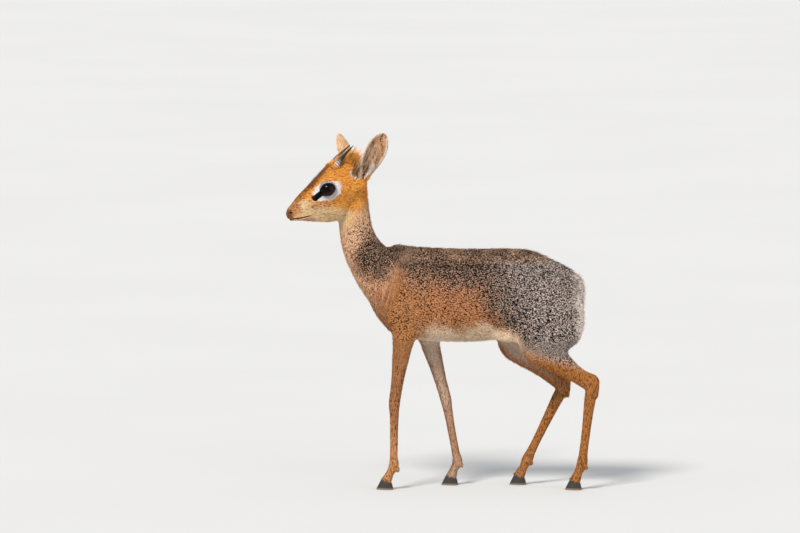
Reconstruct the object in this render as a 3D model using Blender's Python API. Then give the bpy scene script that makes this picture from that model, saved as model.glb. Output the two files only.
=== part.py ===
"""A Kirk's dik-dik buck, life size, caught in a slow walk.

Metres, +Z up. He faces -X with his left side toward -Y and stands on Z = 0.
The flesh is modelled whole from rounded tubes, then parted into nodes by thin cuts.
"""

import random
from collections import namedtuple
from math import cos, pi, radians, sin, sqrt

import bmesh
import bpy
import numpy as np
from mathutils import Matrix, Vector
from mathutils.bvhtree import BVHTree

# A gap this wide keeps touching nodes apart
GAP = 0.0003

# Each ring of a tube: its centre, its half sizes along and across the animal's side
# view, and how much narrower it is on its upper or rear side
Ring = namedtuple("Ring", "x y z deep wide egg", defaults=(0.0,))

# Trunk, from the breast to the rump
WITHERS_HEIGHT = 0.3765
TRUNK_RINGS = (
    (-0.118, 0.326, 0.290, 0.020),
    (-0.102, 0.362, 0.262, 0.034),
    (-0.078, 0.380, 0.237, 0.043),
    (-0.058, 0.3785, 0.232, 0.0465),
    (-0.036, WITHERS_HEIGHT, 0.228, 0.049),
    (0.010, 0.3745, 0.2255, 0.054),
    (0.060, 0.3740, 0.2265, 0.055),
    (0.100, 0.3745, 0.233, 0.052),
    (0.138, 0.3710, 0.246, 0.048),
    (0.170, 0.3570, 0.250, 0.044),
    (0.192, 0.3460, 0.248, 0.036),
    (0.203, 0.3385, 0.252, 0.026),
    (0.2095, 0.3200, 0.268, 0.013),
)
TRUNK_EGG = 0.14

# Neck, from inside the skull down into the chest
NECK_RINGS = (
    Ring(-0.1375, 0.0, 0.4840, 0.0200, 0.0190),
    Ring(-0.1395, 0.0, 0.4570, 0.0240, 0.0215),
    Ring(-0.1390, 0.0, 0.4280, 0.0260, 0.0220),
    Ring(-0.1355, 0.0, 0.4010, 0.0278, 0.0232),
    Ring(-0.1275, 0.0, 0.3750, 0.0315, 0.0265),
    Ring(-0.1125, 0.0, 0.3500, 0.0365, 0.0310),
    Ring(-0.0900, 0.0, 0.3250, 0.0440, 0.0375),
    Ring(-0.0640, 0.0, 0.3060, 0.0500, 0.0430),
)

# Head, drawn facing straight ahead and then turned toward the left about the nape
HEAD_TURN = radians(18)
NAPE_X = -0.138
SKULL_RINGS = (
    (-0.2475, 0.4325, 0.4235, 0.0040),
    (-0.2458, 0.4375, 0.4212, 0.0080),
    (-0.2400, 0.4440, 0.4205, 0.0106),
    (-0.2310, 0.4555, 0.4210, 0.0124),
    (-0.2180, 0.4690, 0.4225, 0.0144),
    (-0.2080, 0.4785, 0.4245, 0.0176),
    (-0.1990, 0.4870, 0.4270, 0.0230),
    (-0.1900, 0.4960, 0.4300, 0.0272),
    (-0.1800, 0.5050, 0.4330, 0.0290),
    (-0.1680, 0.5100, 0.4360, 0.0296),
    (-0.1550, 0.5090, 0.4390, 0.0292),
    (-0.1430, 0.5040, 0.4420, 0.0272),
    (-0.1330, 0.4960, 0.4460, 0.0235),
    (-0.1250, 0.4850, 0.4540, 0.0150),
)
JAW_RINGS = (
    (-0.2430, 0.4225, 0.4176, 0.0048),
    (-0.2388, 0.4262, 0.4170, 0.0076),
    (-0.2250, 0.4310, 0.4163, 0.0092),
    (-0.2100, 0.4360, 0.4146, 0.0116),
    (-0.1950, 0.4440, 0.4130, 0.0148),
    (-0.1820, 0.4540, 0.4124, 0.0180),
    (-0.1720, 0.4580, 0.4132, 0.0200),
    (-0.1600, 0.4620, 0.4190, 0.0205),
    (-0.1480, 0.4620, 0.4310, 0.0180),
)
CHEEK_CENTRE = Vector((-0.1780, 0.0145, 0.4460))
CHEEK_SIZE = Vector((0.0280, 0.0120, 0.0240))
WHISKER_CENTRE = Vector((-0.2220, 0.0080, 0.4290))
WHISKER_SIZE = Vector((0.0200, 0.0050, 0.0090))

# Eyes: the ball, the lids over it and the opening between them
EYE_CENTRE = Vector((-0.1872, 0.0206, 0.4660))
EYE_AXIS = Vector((-0.34, 0.93, 0.08))
EYE_RADIUS = 0.0135
LID_THICK = 0.0014
EYE_OPEN_LONG = 0.0116
EYE_OPEN_HIGH = 0.0098
EYE_CORNER_DROP = radians(24)
EYE_CORNER_POINT = 0.16
EYE_CORNER_SHARPNESS = 6
OPENING_FLARE = ((0.42, 0.90), (0.62, 1.0), (0.95, 1.02), (1.5, 1.15))
OPENING_STEPS = 28
ORBIT_SHAPE = (1.18, 0.96, 1.06)
ORBIT_LIDS = 0.6

# Mouth line, from the chin back to the corners, and the nostrils
MOUTH_FRONT_X = -0.2425
MOUTH_CORNER_X = -0.2130
MOUTH_FRONT_HEIGHT = 0.4200
MOUTH_CORNER_HEIGHT = 0.4254
MOUTH_STRAIGHT = 0.014
MOUTH_STEPS = 8
MOUTH_SLOT = 0.0011
MOUTH_DEPTH = 0.0022
LIP_RADIUS = 0.0014
LIP_SINK = 0.75
NOSTRIL_CENTRE = Vector((-0.2440, 0.0068, 0.4300))
NOSTRIL_TURN, NOSTRIL_TILT = radians(-28), radians(-32)
NOSTRIL_SIZE = Vector((0.0032, 0.0026, 0.0013))

# Horns: straight, in line with the face, ringed near the base
HORN_ROOT = Vector((-0.1760, 0.0125, 0.4960))
HORN_TIP = Vector((-0.1420, 0.0085, 0.5325))
HORN_RADIUS = 0.0048
HORN_ROWS, HORN_SIDES = 21, 10
HORN_TAPER = 0.75
HORN_TIP_RADIUS = 0.0006
HORN_BOW = 0.0016
HORN_RINGS = 5
HORN_RING_RISE = 0.0006
HORN_RING_REACH = 0.45
PEDICEL_RADIUS = 0.0078
PEDICEL_REACH = 0.0030

# Ears: leaf shaped shells, rolled into a tube at the base. The left one leans back
# and opens outward, the right one stands up and opens forward
EAR_ROOT = Vector((-0.1325, 0.0275, 0.4830))
EAR_LENGTH = 0.0745
EAR_THICK = 0.0018
EAR_BASE_START = Vector((-0.1470, 0.0080, 0.4700))
EAR_BASE_RADII = (0.0140, 0.0100, 0.0086, 0.0077)
STUB_DEPTH = 0.007
EAR_HALF_WIDTHS = (0.0078, 0.0092, 0.0114, 0.0136, 0.0153, 0.0161, 0.0160, 0.0142, 0.0102, 0.0026)
EAR_ROLLS = (160, 138, 112, 94, 80, 72, 66, 60, 52, 40)
EAR_LEAN_BACK = -0.010
EAR_TIP_THINNER = 0.45
EAR_COLUMNS = 11
EAR_LEFT_AXIS = Vector((0.41, -0.10, 0.89))
EAR_LEFT_OPENS = Vector((-0.14, -0.99, 0.0))
EAR_RIGHT_AXIS = Vector((-0.37, 0.59, 0.77))
EAR_RIGHT_OPENS = Vector((-0.76, 0.65, 0.0))

# Crest: a tuft of stiff hair between and behind the horns. Its core, then the lines on
# which its locks are rooted and end, from front to back, as x and z
CREST_CORE = (
    (-0.1820, 0.4990, 0.4900, 0.0030),
    (-0.1740, 0.5040, 0.4900, 0.0050),
    (-0.1630, 0.5110, 0.4920, 0.0056),
    (-0.1510, 0.5140, 0.4920, 0.0056),
    (-0.1420, 0.5120, 0.4900, 0.0045),
    (-0.1350, 0.5040, 0.4940, 0.0015),
)
CREST_ROOTS = ((-0.188, 0.494), (-0.176, 0.499), (-0.164, 0.501), (-0.152, 0.500), (-0.143, 0.496))
CREST_TIPS = ((-0.177, 0.509), (-0.164, 0.518), (-0.150, 0.525), (-0.136, 0.530), (-0.125, 0.524))
CREST_ROWS = 12
CREST_HALF_WIDTH = 0.0058
CREST_FAN = 1.35
LOCK_WIDTH = 0.0088
LOCK_THICK = 0.0018
LOCK_TIP = 0.0004
LOCK_BEND = 0.0034
LOCK_TURN = radians(35)
LOCK_SECTIONS = 4
CREST_SEED = 3

# Legs: joints from the trunk down, as x and z, with the distance from the midline
FORE_SPREAD = 0.031
FORE_LEFT = ((-0.074, 0.318), (-0.060, 0.250), (-0.076, 0.134), (-0.077, 0.037), (-0.088, 0.0145))
FORE_RIGHT = ((-0.070, 0.318), (-0.028, 0.250), (0.004, 0.134), (0.022, 0.037), (0.013, 0.0145))
HIND_SPREAD = 0.035
HIND_LEFT = ((0.138, 0.232), (0.229, 0.160), (0.2145, 0.041), (0.204, 0.0155))
HIND_RIGHT = ((0.104, 0.232), (0.186, 0.153), (0.131, 0.040), (0.119, 0.0155))

# Girths down a leg: the bone, how far along it, and the half sizes
Girth = namedtuple("Girth", "bone along deep wide")
FORE_GIRTHS = (
    Girth(0, -0.45, 0.0060, 0.0030),
    Girth(0, -0.20, 0.0260, 0.0110),
    Girth(0, 0.20, 0.0350, 0.0165),
    Girth(0, 0.60, 0.0320, 0.0175),
    Girth(0, 1.00, 0.0240, 0.0155),
    Girth(1, 0.18, 0.0190, 0.0140),
    Girth(1, 0.45, 0.0134, 0.0114),
    Girth(1, 0.75, 0.0103, 0.0094),
    Girth(2, 0.00, 0.0096, 0.0090),
    Girth(2, 0.18, 0.0080, 0.0072),
    Girth(2, 0.50, 0.0070, 0.0062),
    Girth(2, 0.84, 0.0069, 0.0062),
    Girth(3, 0.00, 0.0088, 0.0080),
    Girth(3, 0.50, 0.0070, 0.0074),
    Girth(3, 1.00, 0.0090, 0.0092),
    Girth(3, 1.50, 0.0094, 0.0094),
)
HIND_GIRTHS = (
    Girth(0, -0.20, 0.0050, 0.0040),
    Girth(0, -0.14, 0.0170, 0.0110),
    Girth(0, -0.06, 0.0250, 0.0160),
    Girth(0, 0.12, 0.0300, 0.0180),
    Girth(0, 0.34, 0.0255, 0.0160),
    Girth(0, 0.60, 0.0165, 0.0120),
    Girth(0, 0.84, 0.0118, 0.0094),
    Girth(1, 0.00, 0.0118, 0.0092),
    Girth(1, 0.16, 0.0100, 0.0078),
    Girth(1, 0.50, 0.0080, 0.0066),
    Girth(1, 0.84, 0.0075, 0.0065),
    Girth(2, 0.00, 0.0092, 0.0082),
    Girth(2, 0.50, 0.0073, 0.0075),
    Girth(2, 1.00, 0.0092, 0.0094),
    Girth(2, 1.50, 0.0094, 0.0094),
)
THIGH_RINGS = (
    (0.152, 0.344, 0.008, 0.002),
    (0.154, 0.334, 0.026, 0.008),
    (0.159, 0.320, 0.041, 0.014),
    (0.164, 0.298, 0.051, 0.019),
    (0.167, 0.264, 0.054, 0.021),
    (0.158, 0.240, 0.047, 0.020),
    (0.152, 0.222, 0.032, 0.016),
    (0.150, 0.212, 0.008, 0.006),
)
FOLD_CENTRE = Vector((0.100, 0.029, 0.2430))
FOLD_SIZE = Vector((0.040, 0.0120, 0.0150))
# Bulk of the thigh nearer the midline than the bone, and how a forward leg carries it along
THIGH_SPREAD = HIND_SPREAD * 0.92
THIGH_HIP_HEIGHT = 0.33
THIGH_SWING = 0.1
FOLD_SWING = 0.7
HOCK_POINT = (0.011, 0.013)
# The tendon above the heel: from which joint, how far from it, and its half sizes
TENDON = (
    ("stifle", 0.040, -0.024, 0.0110, 0.0090),
    ("point", -0.024, 0.0095, 0.0056, 0.0048),
    ("point", -0.0045, -0.0015, 0.0060, 0.0052),
    ("hock", 0.005, -0.016, 0.0062, 0.0058),
)
DEWCLAW_RADIUS = 0.0034
DEWCLAW_SHAPE = Vector((1.0, 0.9, 1.3))
DEWCLAW_PLACE = Vector((0.0075, 0.0048, -0.006))

# Hooves: two claws to a foot, flat underneath, tapering to the toe
CLAW_LENGTH = 0.027
CLAW_WIDTH = 0.0090
CLAW_HEIGHT = 0.0165
HEEL_HEIGHT = 0.0090
CLAW_TOE_REACH = 0.0165
CLAW_FRONT_SLOPE = 0.0085
CLAW_HEEL_SLOPE = 0.0020
CLAW_BEVEL = 0.0006

# Tail: short, leaving the croup and hanging against the rump
TAIL_RINGS = (
    (0.1960, 0.3330, 0.0055, 0.0080),
    (0.2070, 0.3290, 0.0062, 0.0092),
    (0.2135, 0.3170, 0.0062, 0.0096),
    (0.2150, 0.2980, 0.0054, 0.0082),
    (0.2150, 0.2860, 0.0034, 0.0050),
    (0.2146, 0.2800, 0.0010, 0.0014),
)

# Cuts that part the flesh, as a point on each and its direction
HEAD_CUT = (Vector((-0.140, 0.0, 0.4335)), Vector((-0.72, 0.0, 0.70)))
NECK_CUT = (Vector((-0.1165, 0.0, 0.3490)), Vector((-0.70, 0.0, 0.71)))
FORE_CUT_HEIGHT = 0.2215
HIND_CUT_HEIGHT = 0.2020
NECK_CUT_SIZE = (0.16, 0.16)
LEG_CUT_SIZE = (0.150, 0.100)
LEG_CUT_OUT = 0.0505
FORE_CUT_BEHIND_ELBOW = -0.01
HIND_CUT_BEHIND_STIFLE = 0.03
FOOT_CUT_SIZE = 0.06
# Any point inside each piece, by which the pieces are told apart
PIECE_SPOTS = {
    "torso": Vector((0.03, 0, 0.30)),
    "neck": Vector((-0.13, 0, 0.39)),
    "foreleg_left": Vector((-0.075, -FORE_SPREAD, 0.12)),
    "foreleg_right": Vector((0.005, FORE_SPREAD, 0.12)),
    "hindleg_left": Vector((0.215, -HIND_SPREAD, 0.12)),
    "hindleg_right": Vector((0.155, HIND_SPREAD, 0.12)),
}
SMALLEST_PIECE = 60

# How fine the flesh is: the grid it is fused on, and the triangles kept
GRID = 0.0016
BODY_TRIANGLES = 5600
HEAD_TRIANGLES = 13500
TRUNK_SMOOTHING = 140
FINE_SMOOTHING = 5

COLOURS = {
    "face": (0.66, 0.30, 0.075),
    "neck": (0.55, 0.33, 0.17),
    "body": (0.27, 0.20, 0.14),
    "leg": (0.66, 0.33, 0.09),
    "ear": (0.58, 0.36, 0.22),
    "tail": (0.40, 0.33, 0.26),
    "horn": (0.045, 0.045, 0.055),
    "eye": (0.006, 0.005, 0.006),
    "hoof": (0.030, 0.026, 0.024),
}
ROUGHNESS = {"horn": 0.45, "eye": 0.06, "hoof": 0.55}


def clear_scene():
    for obj in list(bpy.data.objects):
        bpy.data.objects.remove(obj, do_unlink=True)


def new_object(name, points, faces):
    mesh = bpy.data.meshes.new(name)
    mesh.from_pydata([tuple(point) for point in points], [], faces)
    mesh.update()
    obj = bpy.data.objects.new(name, mesh)
    bpy.context.scene.collection.objects.link(obj)
    return obj


def paint(obj, kind):
    """Gives the object a plain material of its own and shades it smooth."""
    material = bpy.data.materials.new(obj.name)
    material.use_nodes = True
    shader = material.node_tree.nodes["Principled BSDF"]
    shader.inputs["Base Color"].default_value = (*COLOURS[kind], 1)
    shader.inputs["Roughness"].default_value = ROUGHNESS.get(kind, 0.85)
    shader.inputs["Metallic"].default_value = 0.0
    obj.data.materials.clear()
    obj.data.materials.append(material)
    obj.data.shade_smooth()
    obj.data.set_sharp_from_angle(angle=radians(50))


def apply_modifier(obj, kind, **settings):
    modifier = obj.modifiers.new(kind, kind)
    for name, value in settings.items():
        setattr(modifier, name, value)
    bpy.context.view_layer.objects.active = obj
    bpy.ops.object.modifier_apply(modifier=modifier.name)


def combine(obj, pieces, operation, solver="EXACT"):
    """One Boolean of the object with all the pieces, which are then removed."""
    group = bpy.data.collections.new(operation)
    for piece in pieces:
        group.objects.link(piece)
    apply_modifier(
        obj, "BOOLEAN", operation=operation, operand_type="COLLECTION", collection=group, solver=solver
    )
    for piece in pieces:
        bpy.data.objects.remove(piece, do_unlink=True)
    bpy.data.collections.remove(group)


def joined(name, pieces):
    """One object that holds the meshes of all the pieces."""
    shape = bmesh.new()
    for piece in pieces:
        shape.from_mesh(piece.data)
        bpy.data.objects.remove(piece, do_unlink=True)
    mesh = bpy.data.meshes.new(name)
    shape.to_mesh(mesh)
    shape.free()
    obj = bpy.data.objects.new(name, mesh)
    bpy.context.scene.collection.objects.link(obj)
    return obj


def copy_of(obj, name):
    twin = bpy.data.objects.new(name, obj.data.copy())
    bpy.context.scene.collection.objects.link(twin)
    return twin


def loose_surfaces(obj):
    """The faces of each separate surface of a mesh, as lists of face indices."""
    shape = bmesh.new()
    shape.from_mesh(obj.data)
    waiting = set(shape.faces)
    surfaces = []
    while waiting:
        found = [waiting.pop()]
        surface = []
        while found:
            face = found.pop()
            surface.append(face.index)
            for edge in face.edges:
                for near in edge.link_faces:
                    if near in waiting:
                        waiting.remove(near)
                        found.append(near)
        surfaces.append(surface)
    shape.free()
    return surfaces


def piece_of(obj, name, surface):
    """A new object from some faces of another."""
    polygons = obj.data.polygons
    corners = [list(polygons[index].vertices) for index in surface]
    used = sorted({corner for face in corners for corner in face})
    places = {corner: place for place, corner in enumerate(used)}
    points = [obj.data.vertices[corner].co for corner in used]
    return new_object(name, points, [[places[corner] for corner in face] for face in corners])


def keep_largest(obj):
    """Leaves only the surface with the most faces."""
    surface = max(loose_surfaces(obj), key=len)
    largest = piece_of(obj, obj.name, surface)
    name = obj.name
    bpy.data.objects.remove(obj, do_unlink=True)
    largest.name = name
    return largest


def smooth_rows(rows, steps):
    """Rows of numbers with more rows between them, on a Catmull-Rom curve."""
    rows = np.array(rows, float)
    ends = np.vstack([2 * rows[0] - rows[1], rows, 2 * rows[-1] - rows[-2]])
    found = []
    for start in range(len(rows) - 1):
        a, b, c, d = ends[start : start + 4]
        for t in np.arange(steps) / steps:
            found.append(
                b
                + (c - a) / 2 * t
                + (2 * a - 5 * b + 4 * c - d) / 2 * t**2
                + (3 * b - a - 3 * c + d) / 2 * t**3
            )
    found.append(rows[-1])
    return np.array(found)


def ring_skin(name, rings):
    """A closed tube through rings of points, fanned shut at both ends."""
    sides = len(rings[0])
    points = [point for ring in rings for point in ring]
    faces = []
    for row in range(len(rings) - 1):
        for side in range(sides):
            after = (side + 1) % sides
            low, high = row * sides, (row + 1) * sides
            faces.append((low + side, low + after, high + after, high + side))
    for row, turned in ((0, True), (len(rings) - 1, False)):
        centre = len(points)
        points.append(np.mean(rings[row], axis=0))
        for side in range(sides):
            corner = (row * sides + side, row * sides + (side + 1) % sides, centre)
            faces.append(corner[::-1] if turned else corner)
    obj = new_object(name, points, faces)
    face_outward(obj)
    return obj


def face_outward(obj):
    shape = bmesh.new()
    shape.from_mesh(obj.data)
    bmesh.ops.recalc_face_normals(shape, faces=shape.faces)
    if shape.calc_volume(signed=True) < 0:
        bmesh.ops.reverse_faces(shape, faces=shape.faces)
    shape.to_mesh(obj.data)
    shape.free()


def tube(name, rings, sides=28, steps=5):
    """A closed tube of egg-shaped rings. Its rings stand square to the path."""
    rows = smooth_rows(rings, steps)
    paths = np.gradient(rows[:, :3], axis=0)
    loops = []
    for row, path in zip(rows, paths):
        along = Vector(path).normalized()
        across = (Vector((0, 1, 0)) - along * along.y).normalized()
        rise = along.cross(across)
        centre = Vector(row[:3])
        loop = []
        for turn in np.arange(sides) * 2 * pi / sides:
            narrowing = 1 - row[5] * cos(turn)
            loop.append(centre + rise * row[3] * cos(turn) + across * row[4] * sin(turn) * narrowing)
        loops.append(loop)
    return ring_skin(name, loops)


def upright_rings(stations, egg):
    """Rings from rows of x, top, bottom and half width."""
    return [Ring(x, 0.0, (top + low) / 2, (top - low) / 2, wide, egg) for x, top, low, wide in stations]


def upright_tube(name, stations, egg, sides=32, steps=5):
    """A tube of rings that all stand upright across the animal."""
    rows = smooth_rows(upright_rings(stations, egg), steps)
    loops = []
    for x, _, z, deep, wide, narrow in rows:
        turns = np.arange(sides) * 2 * pi / sides
        loops.append(
            [(x, wide * sin(turn) * (1 - narrow * cos(turn)), z + deep * cos(turn)) for turn in turns]
        )
    return ring_skin(name, loops)


def ball(name, centre, size, turn=None, divisions=3):
    """An ellipsoid, with its half sizes given along its own axes."""
    shape = bmesh.new()
    bmesh.ops.create_icosphere(shape, subdivisions=divisions, radius=1)
    stretch = Matrix.Diagonal((*size, 1))
    place = Matrix.Translation(centre) @ (turn.to_4x4() if turn else Matrix.Identity(4))
    bmesh.ops.transform(shape, matrix=place @ stretch, verts=shape.verts)
    mesh = bpy.data.meshes.new(name)
    shape.to_mesh(mesh)
    shape.free()
    obj = bpy.data.objects.new(name, mesh)
    bpy.context.scene.collection.objects.link(obj)
    return obj


def box(name, size, place):
    """A closed box, with its full sizes, set by a matrix."""
    shape = bmesh.new()
    bmesh.ops.create_cube(shape, size=1)
    bmesh.ops.transform(shape, matrix=place @ Matrix.Diagonal((*size, 1)), verts=shape.verts)
    mesh = bpy.data.meshes.new(name)
    shape.to_mesh(mesh)
    shape.free()
    obj = bpy.data.objects.new(name, mesh)
    bpy.context.scene.collection.objects.link(obj)
    return obj


def frame_along(origin, along, across=Vector((0, 1, 0))):
    """A matrix whose Z runs along a direction and whose Y stays near another."""
    z_axis = along.normalized()
    x_axis = across.cross(z_axis).normalized()
    y_axis = z_axis.cross(x_axis)
    turn = Matrix((x_axis, y_axis, z_axis)).transposed()
    return Matrix.Translation(origin) @ turn.to_4x4()


def on_side(vector, side):
    """A point or direction given for the right half, on either side (-1 is the left)."""
    return Vector((vector.x, vector.y * side, vector.z))


def head_matrix():
    """Turns what was drawn facing ahead to where the head looks."""
    nape = Vector((NAPE_X, 0, 0))
    return Matrix.Translation(nape) @ Matrix.Rotation(HEAD_TURN, 4, "Z") @ Matrix.Translation(-nape)


def turn_head(pieces):
    for piece in pieces:
        piece.data.transform(head_matrix())
    return pieces


def leg_rings(joints, girths, side, spread):
    """The rings of a leg, from where its joints are and how thick its bones are."""
    rings = []
    for bone, along, deep, wide in girths:
        start, end = joints[bone], joints[bone + 1] if bone + 1 < len(joints) else joints[bone]
        x = start[0] + (end[0] - start[0]) * along
        z = start[1] + (end[1] - start[1]) * along
        rings.append(Ring(x, side * spread, z, deep, wide))
    return rings


def dewclaws(joints, side, spread):
    """The two small knobs behind a fetlock."""
    x, z = joints[-2]
    behind, apart, lower = DEWCLAW_PLACE
    places = [Vector((x + behind, side * spread + across * apart, z + lower)) for across in (-1, 1)]
    return [ball("dewclaw", place, DEWCLAW_SHAPE * DEWCLAW_RADIUS, divisions=2) for place in places]


def hind_leg(joints, side):
    """The shank, hock and foot of a hind leg, with the tendon to the point of the hock."""
    shank = tube("shank", leg_rings(joints, HIND_GIRTHS, side, HIND_SPREAD))
    stifle, hock = joints[0], joints[1]
    spots = {"stifle": stifle, "hock": hock, "point": (hock[0] + HOCK_POINT[0], hock[1] + HOCK_POINT[1])}
    rings = [
        Ring(spots[spot][0] + ahead, side * HIND_SPREAD, spots[spot][1] + above, deep, wide)
        for spot, ahead, above, deep, wide in TENDON
    ]
    tendon = tube("tendon", rings, sides=16)
    shift = stifle[0] - HIND_LEFT[0][0]
    thigh_rings = [
        Ring(x + shift * (THIGH_HIP_HEIGHT - z) / THIGH_SWING, side * THIGH_SPREAD, z, deep, wide)
        for x, z, deep, wide in THIGH_RINGS
    ]
    fold = ball("flank_fold", on_side(FOLD_CENTRE, side) + Vector((shift * FOLD_SWING, 0, 0)), FOLD_SIZE)
    return [shank, tendon, tube("thigh", thigh_rings), fold, *dewclaws(joints, side, HIND_SPREAD)]


def fore_leg(joints, side):
    leg = tube("foreleg", leg_rings(joints, FORE_GIRTHS, side, FORE_SPREAD))
    return [leg, *dewclaws(joints, side, FORE_SPREAD)]


def trunk_and_neck():
    return [upright_tube("trunk", TRUNK_RINGS, TRUNK_EGG), tube("neck", NECK_RINGS)]


def skull():
    """The head without ears, eyes or horns."""
    pieces = [
        upright_tube("skull", SKULL_RINGS, 0.18),
        upright_tube("jaw", JAW_RINGS, -0.05, sides=24),
    ]
    for side in (-1, 1):
        pieces.append(ball("cheek", on_side(CHEEK_CENTRE, side), CHEEK_SIZE))
        pieces.append(ball("whisker_bed", on_side(WHISKER_CENTRE, side), WHISKER_SIZE))
        orbit_size = Vector(ORBIT_SHAPE) * (EYE_RADIUS + LID_THICK * ORBIT_LIDS)
        pieces.append(ball("orbit", on_side(EYE_CENTRE, side), orbit_size))
        horn_root = on_side(HORN_ROOT, side)
        horn_way = (on_side(HORN_TIP, side) - horn_root).normalized()
        pieces.append(ball("pedicel", horn_root + horn_way * PEDICEL_REACH, (PEDICEL_RADIUS,) * 3))
        pieces.append(ear_base(side))
    return turn_head(pieces)


def flesh():
    """The whole body fused on a fine grid, softened where the limbs join the trunk."""
    pieces = trunk_and_neck() + skull()
    pieces += fore_leg(FORE_LEFT, -1) + fore_leg(FORE_RIGHT, 1)
    pieces += hind_leg(HIND_LEFT, -1) + hind_leg(HIND_RIGHT, 1)
    body = joined("flesh", pieces)
    apply_modifier(body, "REMESH", mode="VOXEL", voxel_size=GRID, adaptivity=0)
    trunk = body.vertex_groups.new(name="trunk")
    for vertex in body.data.vertices:
        trunk.add([vertex.index], softness(vertex.co), "REPLACE")
    apply_modifier(body, "SMOOTH", factor=0.5, iterations=TRUNK_SMOOTHING, vertex_group="trunk")
    apply_modifier(body, "SMOOTH", factor=0.5, iterations=FINE_SMOOTHING)
    return body


def softness(point):
    """How far the joins at a point are smoothed: most on the trunk, not at all on shins and muzzle."""
    above_legs = min(1.0, max(0.0, (point.z - 0.200) / 0.018))
    behind_muzzle = min(1.0, max(0.0, (point.x + 0.232) / 0.035))
    return above_legs * behind_muzzle * (0.40 if point.z > 0.41 else 1.0)


def reduced(obj, name, triangles):
    """A copy with about this many triangles."""
    twin = copy_of(obj, name)
    apply_modifier(twin, "TRIANGULATE")
    apply_modifier(twin, "DECIMATE", ratio=triangles / len(twin.data.polygons))
    return twin


def half_space(cut, side, reach=1.2):
    """A big box on one side of a cut, half a gap away from it."""
    point, direction = cut
    along = direction.normalized() * side
    return box("half", (reach, reach, reach), frame_along(point + along * (reach / 2 - GAP / 2), along))


def cut_slab(point, direction, size):
    """A slab as thick as the gap between nodes."""
    return box("slab", (size[0], size[1], GAP), frame_along(Vector(point), direction))


def coronet_frame(joints, side, spread):
    """The slanted plane on which the claws of a foot end, raised by the gap."""
    toe = joints[-1][0] - CLAW_TOE_REACH
    front = Vector((toe + CLAW_FRONT_SLOPE, side * spread, CLAW_HEIGHT))
    back = Vector((toe + CLAW_LENGTH - CLAW_HEEL_SLOPE, side * spread, HEEL_HEIGHT))
    upward = Vector((front.z - back.z, 0, back.x - front.x)).normalized()
    return frame_along((front + back) / 2 + upward * GAP, upward)


def parted(body):
    """The trunk, neck and legs as separate objects."""
    slabs = [half_space(HEAD_CUT, 1), cut_slab(*NECK_CUT, NECK_CUT_SIZE)]
    feet = (
        (FORE_LEFT, -1, FORE_SPREAD),
        (FORE_RIGHT, 1, FORE_SPREAD),
        (HIND_LEFT, -1, HIND_SPREAD),
        (HIND_RIGHT, 1, HIND_SPREAD),
    )
    for joints, side, spread in feet:
        fore = spread == FORE_SPREAD
        height = FORE_CUT_HEIGHT if fore else HIND_CUT_HEIGHT
        centre = joints[1][0] + FORE_CUT_BEHIND_ELBOW if fore else joints[0][0] + HIND_CUT_BEHIND_STIFLE
        slabs.append(cut_slab((centre, side * LEG_CUT_OUT, height), Vector((0, 0, 1)), LEG_CUT_SIZE))
        below = coronet_frame(joints, side, spread) @ Matrix.Translation((0, 0, -FOOT_CUT_SIZE / 2))
        slabs.append(box("below", (FOOT_CUT_SIZE,) * 3, below))
    slabs.append(tail("tail_hollow", GAP))
    combine(body, slabs, "DIFFERENCE")
    surfaces = [surface for surface in loose_surfaces(body) if len(surface) > SMALLEST_PIECE]
    pieces = [piece_of(body, "piece", surface) for surface in surfaces]
    bpy.data.objects.remove(body, do_unlink=True)
    for piece in pieces:
        centre = sum((vertex.co for vertex in piece.data.vertices), Vector()) / len(piece.data.vertices)
        piece.name = min(PIECE_SPOTS, key=lambda name: (PIECE_SPOTS[name] - centre).length)
        paint(piece, {"torso": "body", "neck": "neck"}.get(piece.name, "leg"))
    return pieces


def eye_turn(side):
    """The way an eye looks, as a matrix: Z outward, X toward the nose."""
    return frame_along(Vector(), on_side(EYE_AXIS, side), Vector((0, 0, 1))).to_3x3()


def eye_opening(side):
    """A flared cutter with an almond outline, pointed toward the tear gland."""
    turn = eye_turn(side)
    forward = turn.inverted() @ Vector((-1, 0, 0))
    drop = EYE_CORNER_DROP
    loops = []
    for reach, spread in OPENING_FLARE:
        loop = []
        for angle in np.arange(OPENING_STEPS) * 2 * pi / OPENING_STEPS:
            point = 1 + EYE_CORNER_POINT * max(0.0, cos(angle)) ** EYE_CORNER_SHARPNESS
            long = EYE_OPEN_LONG * cos(angle) * point
            high = EYE_OPEN_HIGH * sin(angle)
            ahead = long * cos(drop) - high * sin(drop)
            lift = -long * sin(drop) - high * cos(drop)
            flat = Vector((forward.x, forward.y, 0)).normalized()
            rise = Vector((0, 0, 1)).cross(flat)
            if (turn @ rise).z < 0:
                rise = -rise
            place = flat * ahead * spread + rise * lift * spread + Vector((0, 0, EYE_RADIUS * reach))
            loop.append(on_side(EYE_CENTRE, side) + turn @ place)
        loops.append(loop)
    return ring_skin("opening", loops)


def mouth_path(surface, lift=0.0):
    """Points along the mouth line on the muzzle's surface, from corner to corner."""
    centre = Vector((MOUTH_CORNER_X - MOUTH_STRAIGHT, 0, 0))
    half = []
    for step in range(MOUTH_STEPS):
        share = step / (MOUTH_STEPS - 1)
        level = MOUTH_CORNER_HEIGHT + (MOUTH_FRONT_HEIGHT - MOUTH_CORNER_HEIGHT) * share + lift
        if share < 0.5:
            x = MOUTH_CORNER_X + (centre.x - MOUTH_CORNER_X) * share * 2
            start, way = Vector((x, 0.05, level)), Vector((0, -1, 0))
        else:
            turn = (share - 0.5) * pi
            way = Vector((sin(turn), -cos(turn), 0))
            start = Vector((centre.x, 0, level)) - way * 0.05
        half.append(surface.ray_cast(start, way)[0])
    return half + [on_side(point, -1) for point in reversed(half[:-1])]


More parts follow.
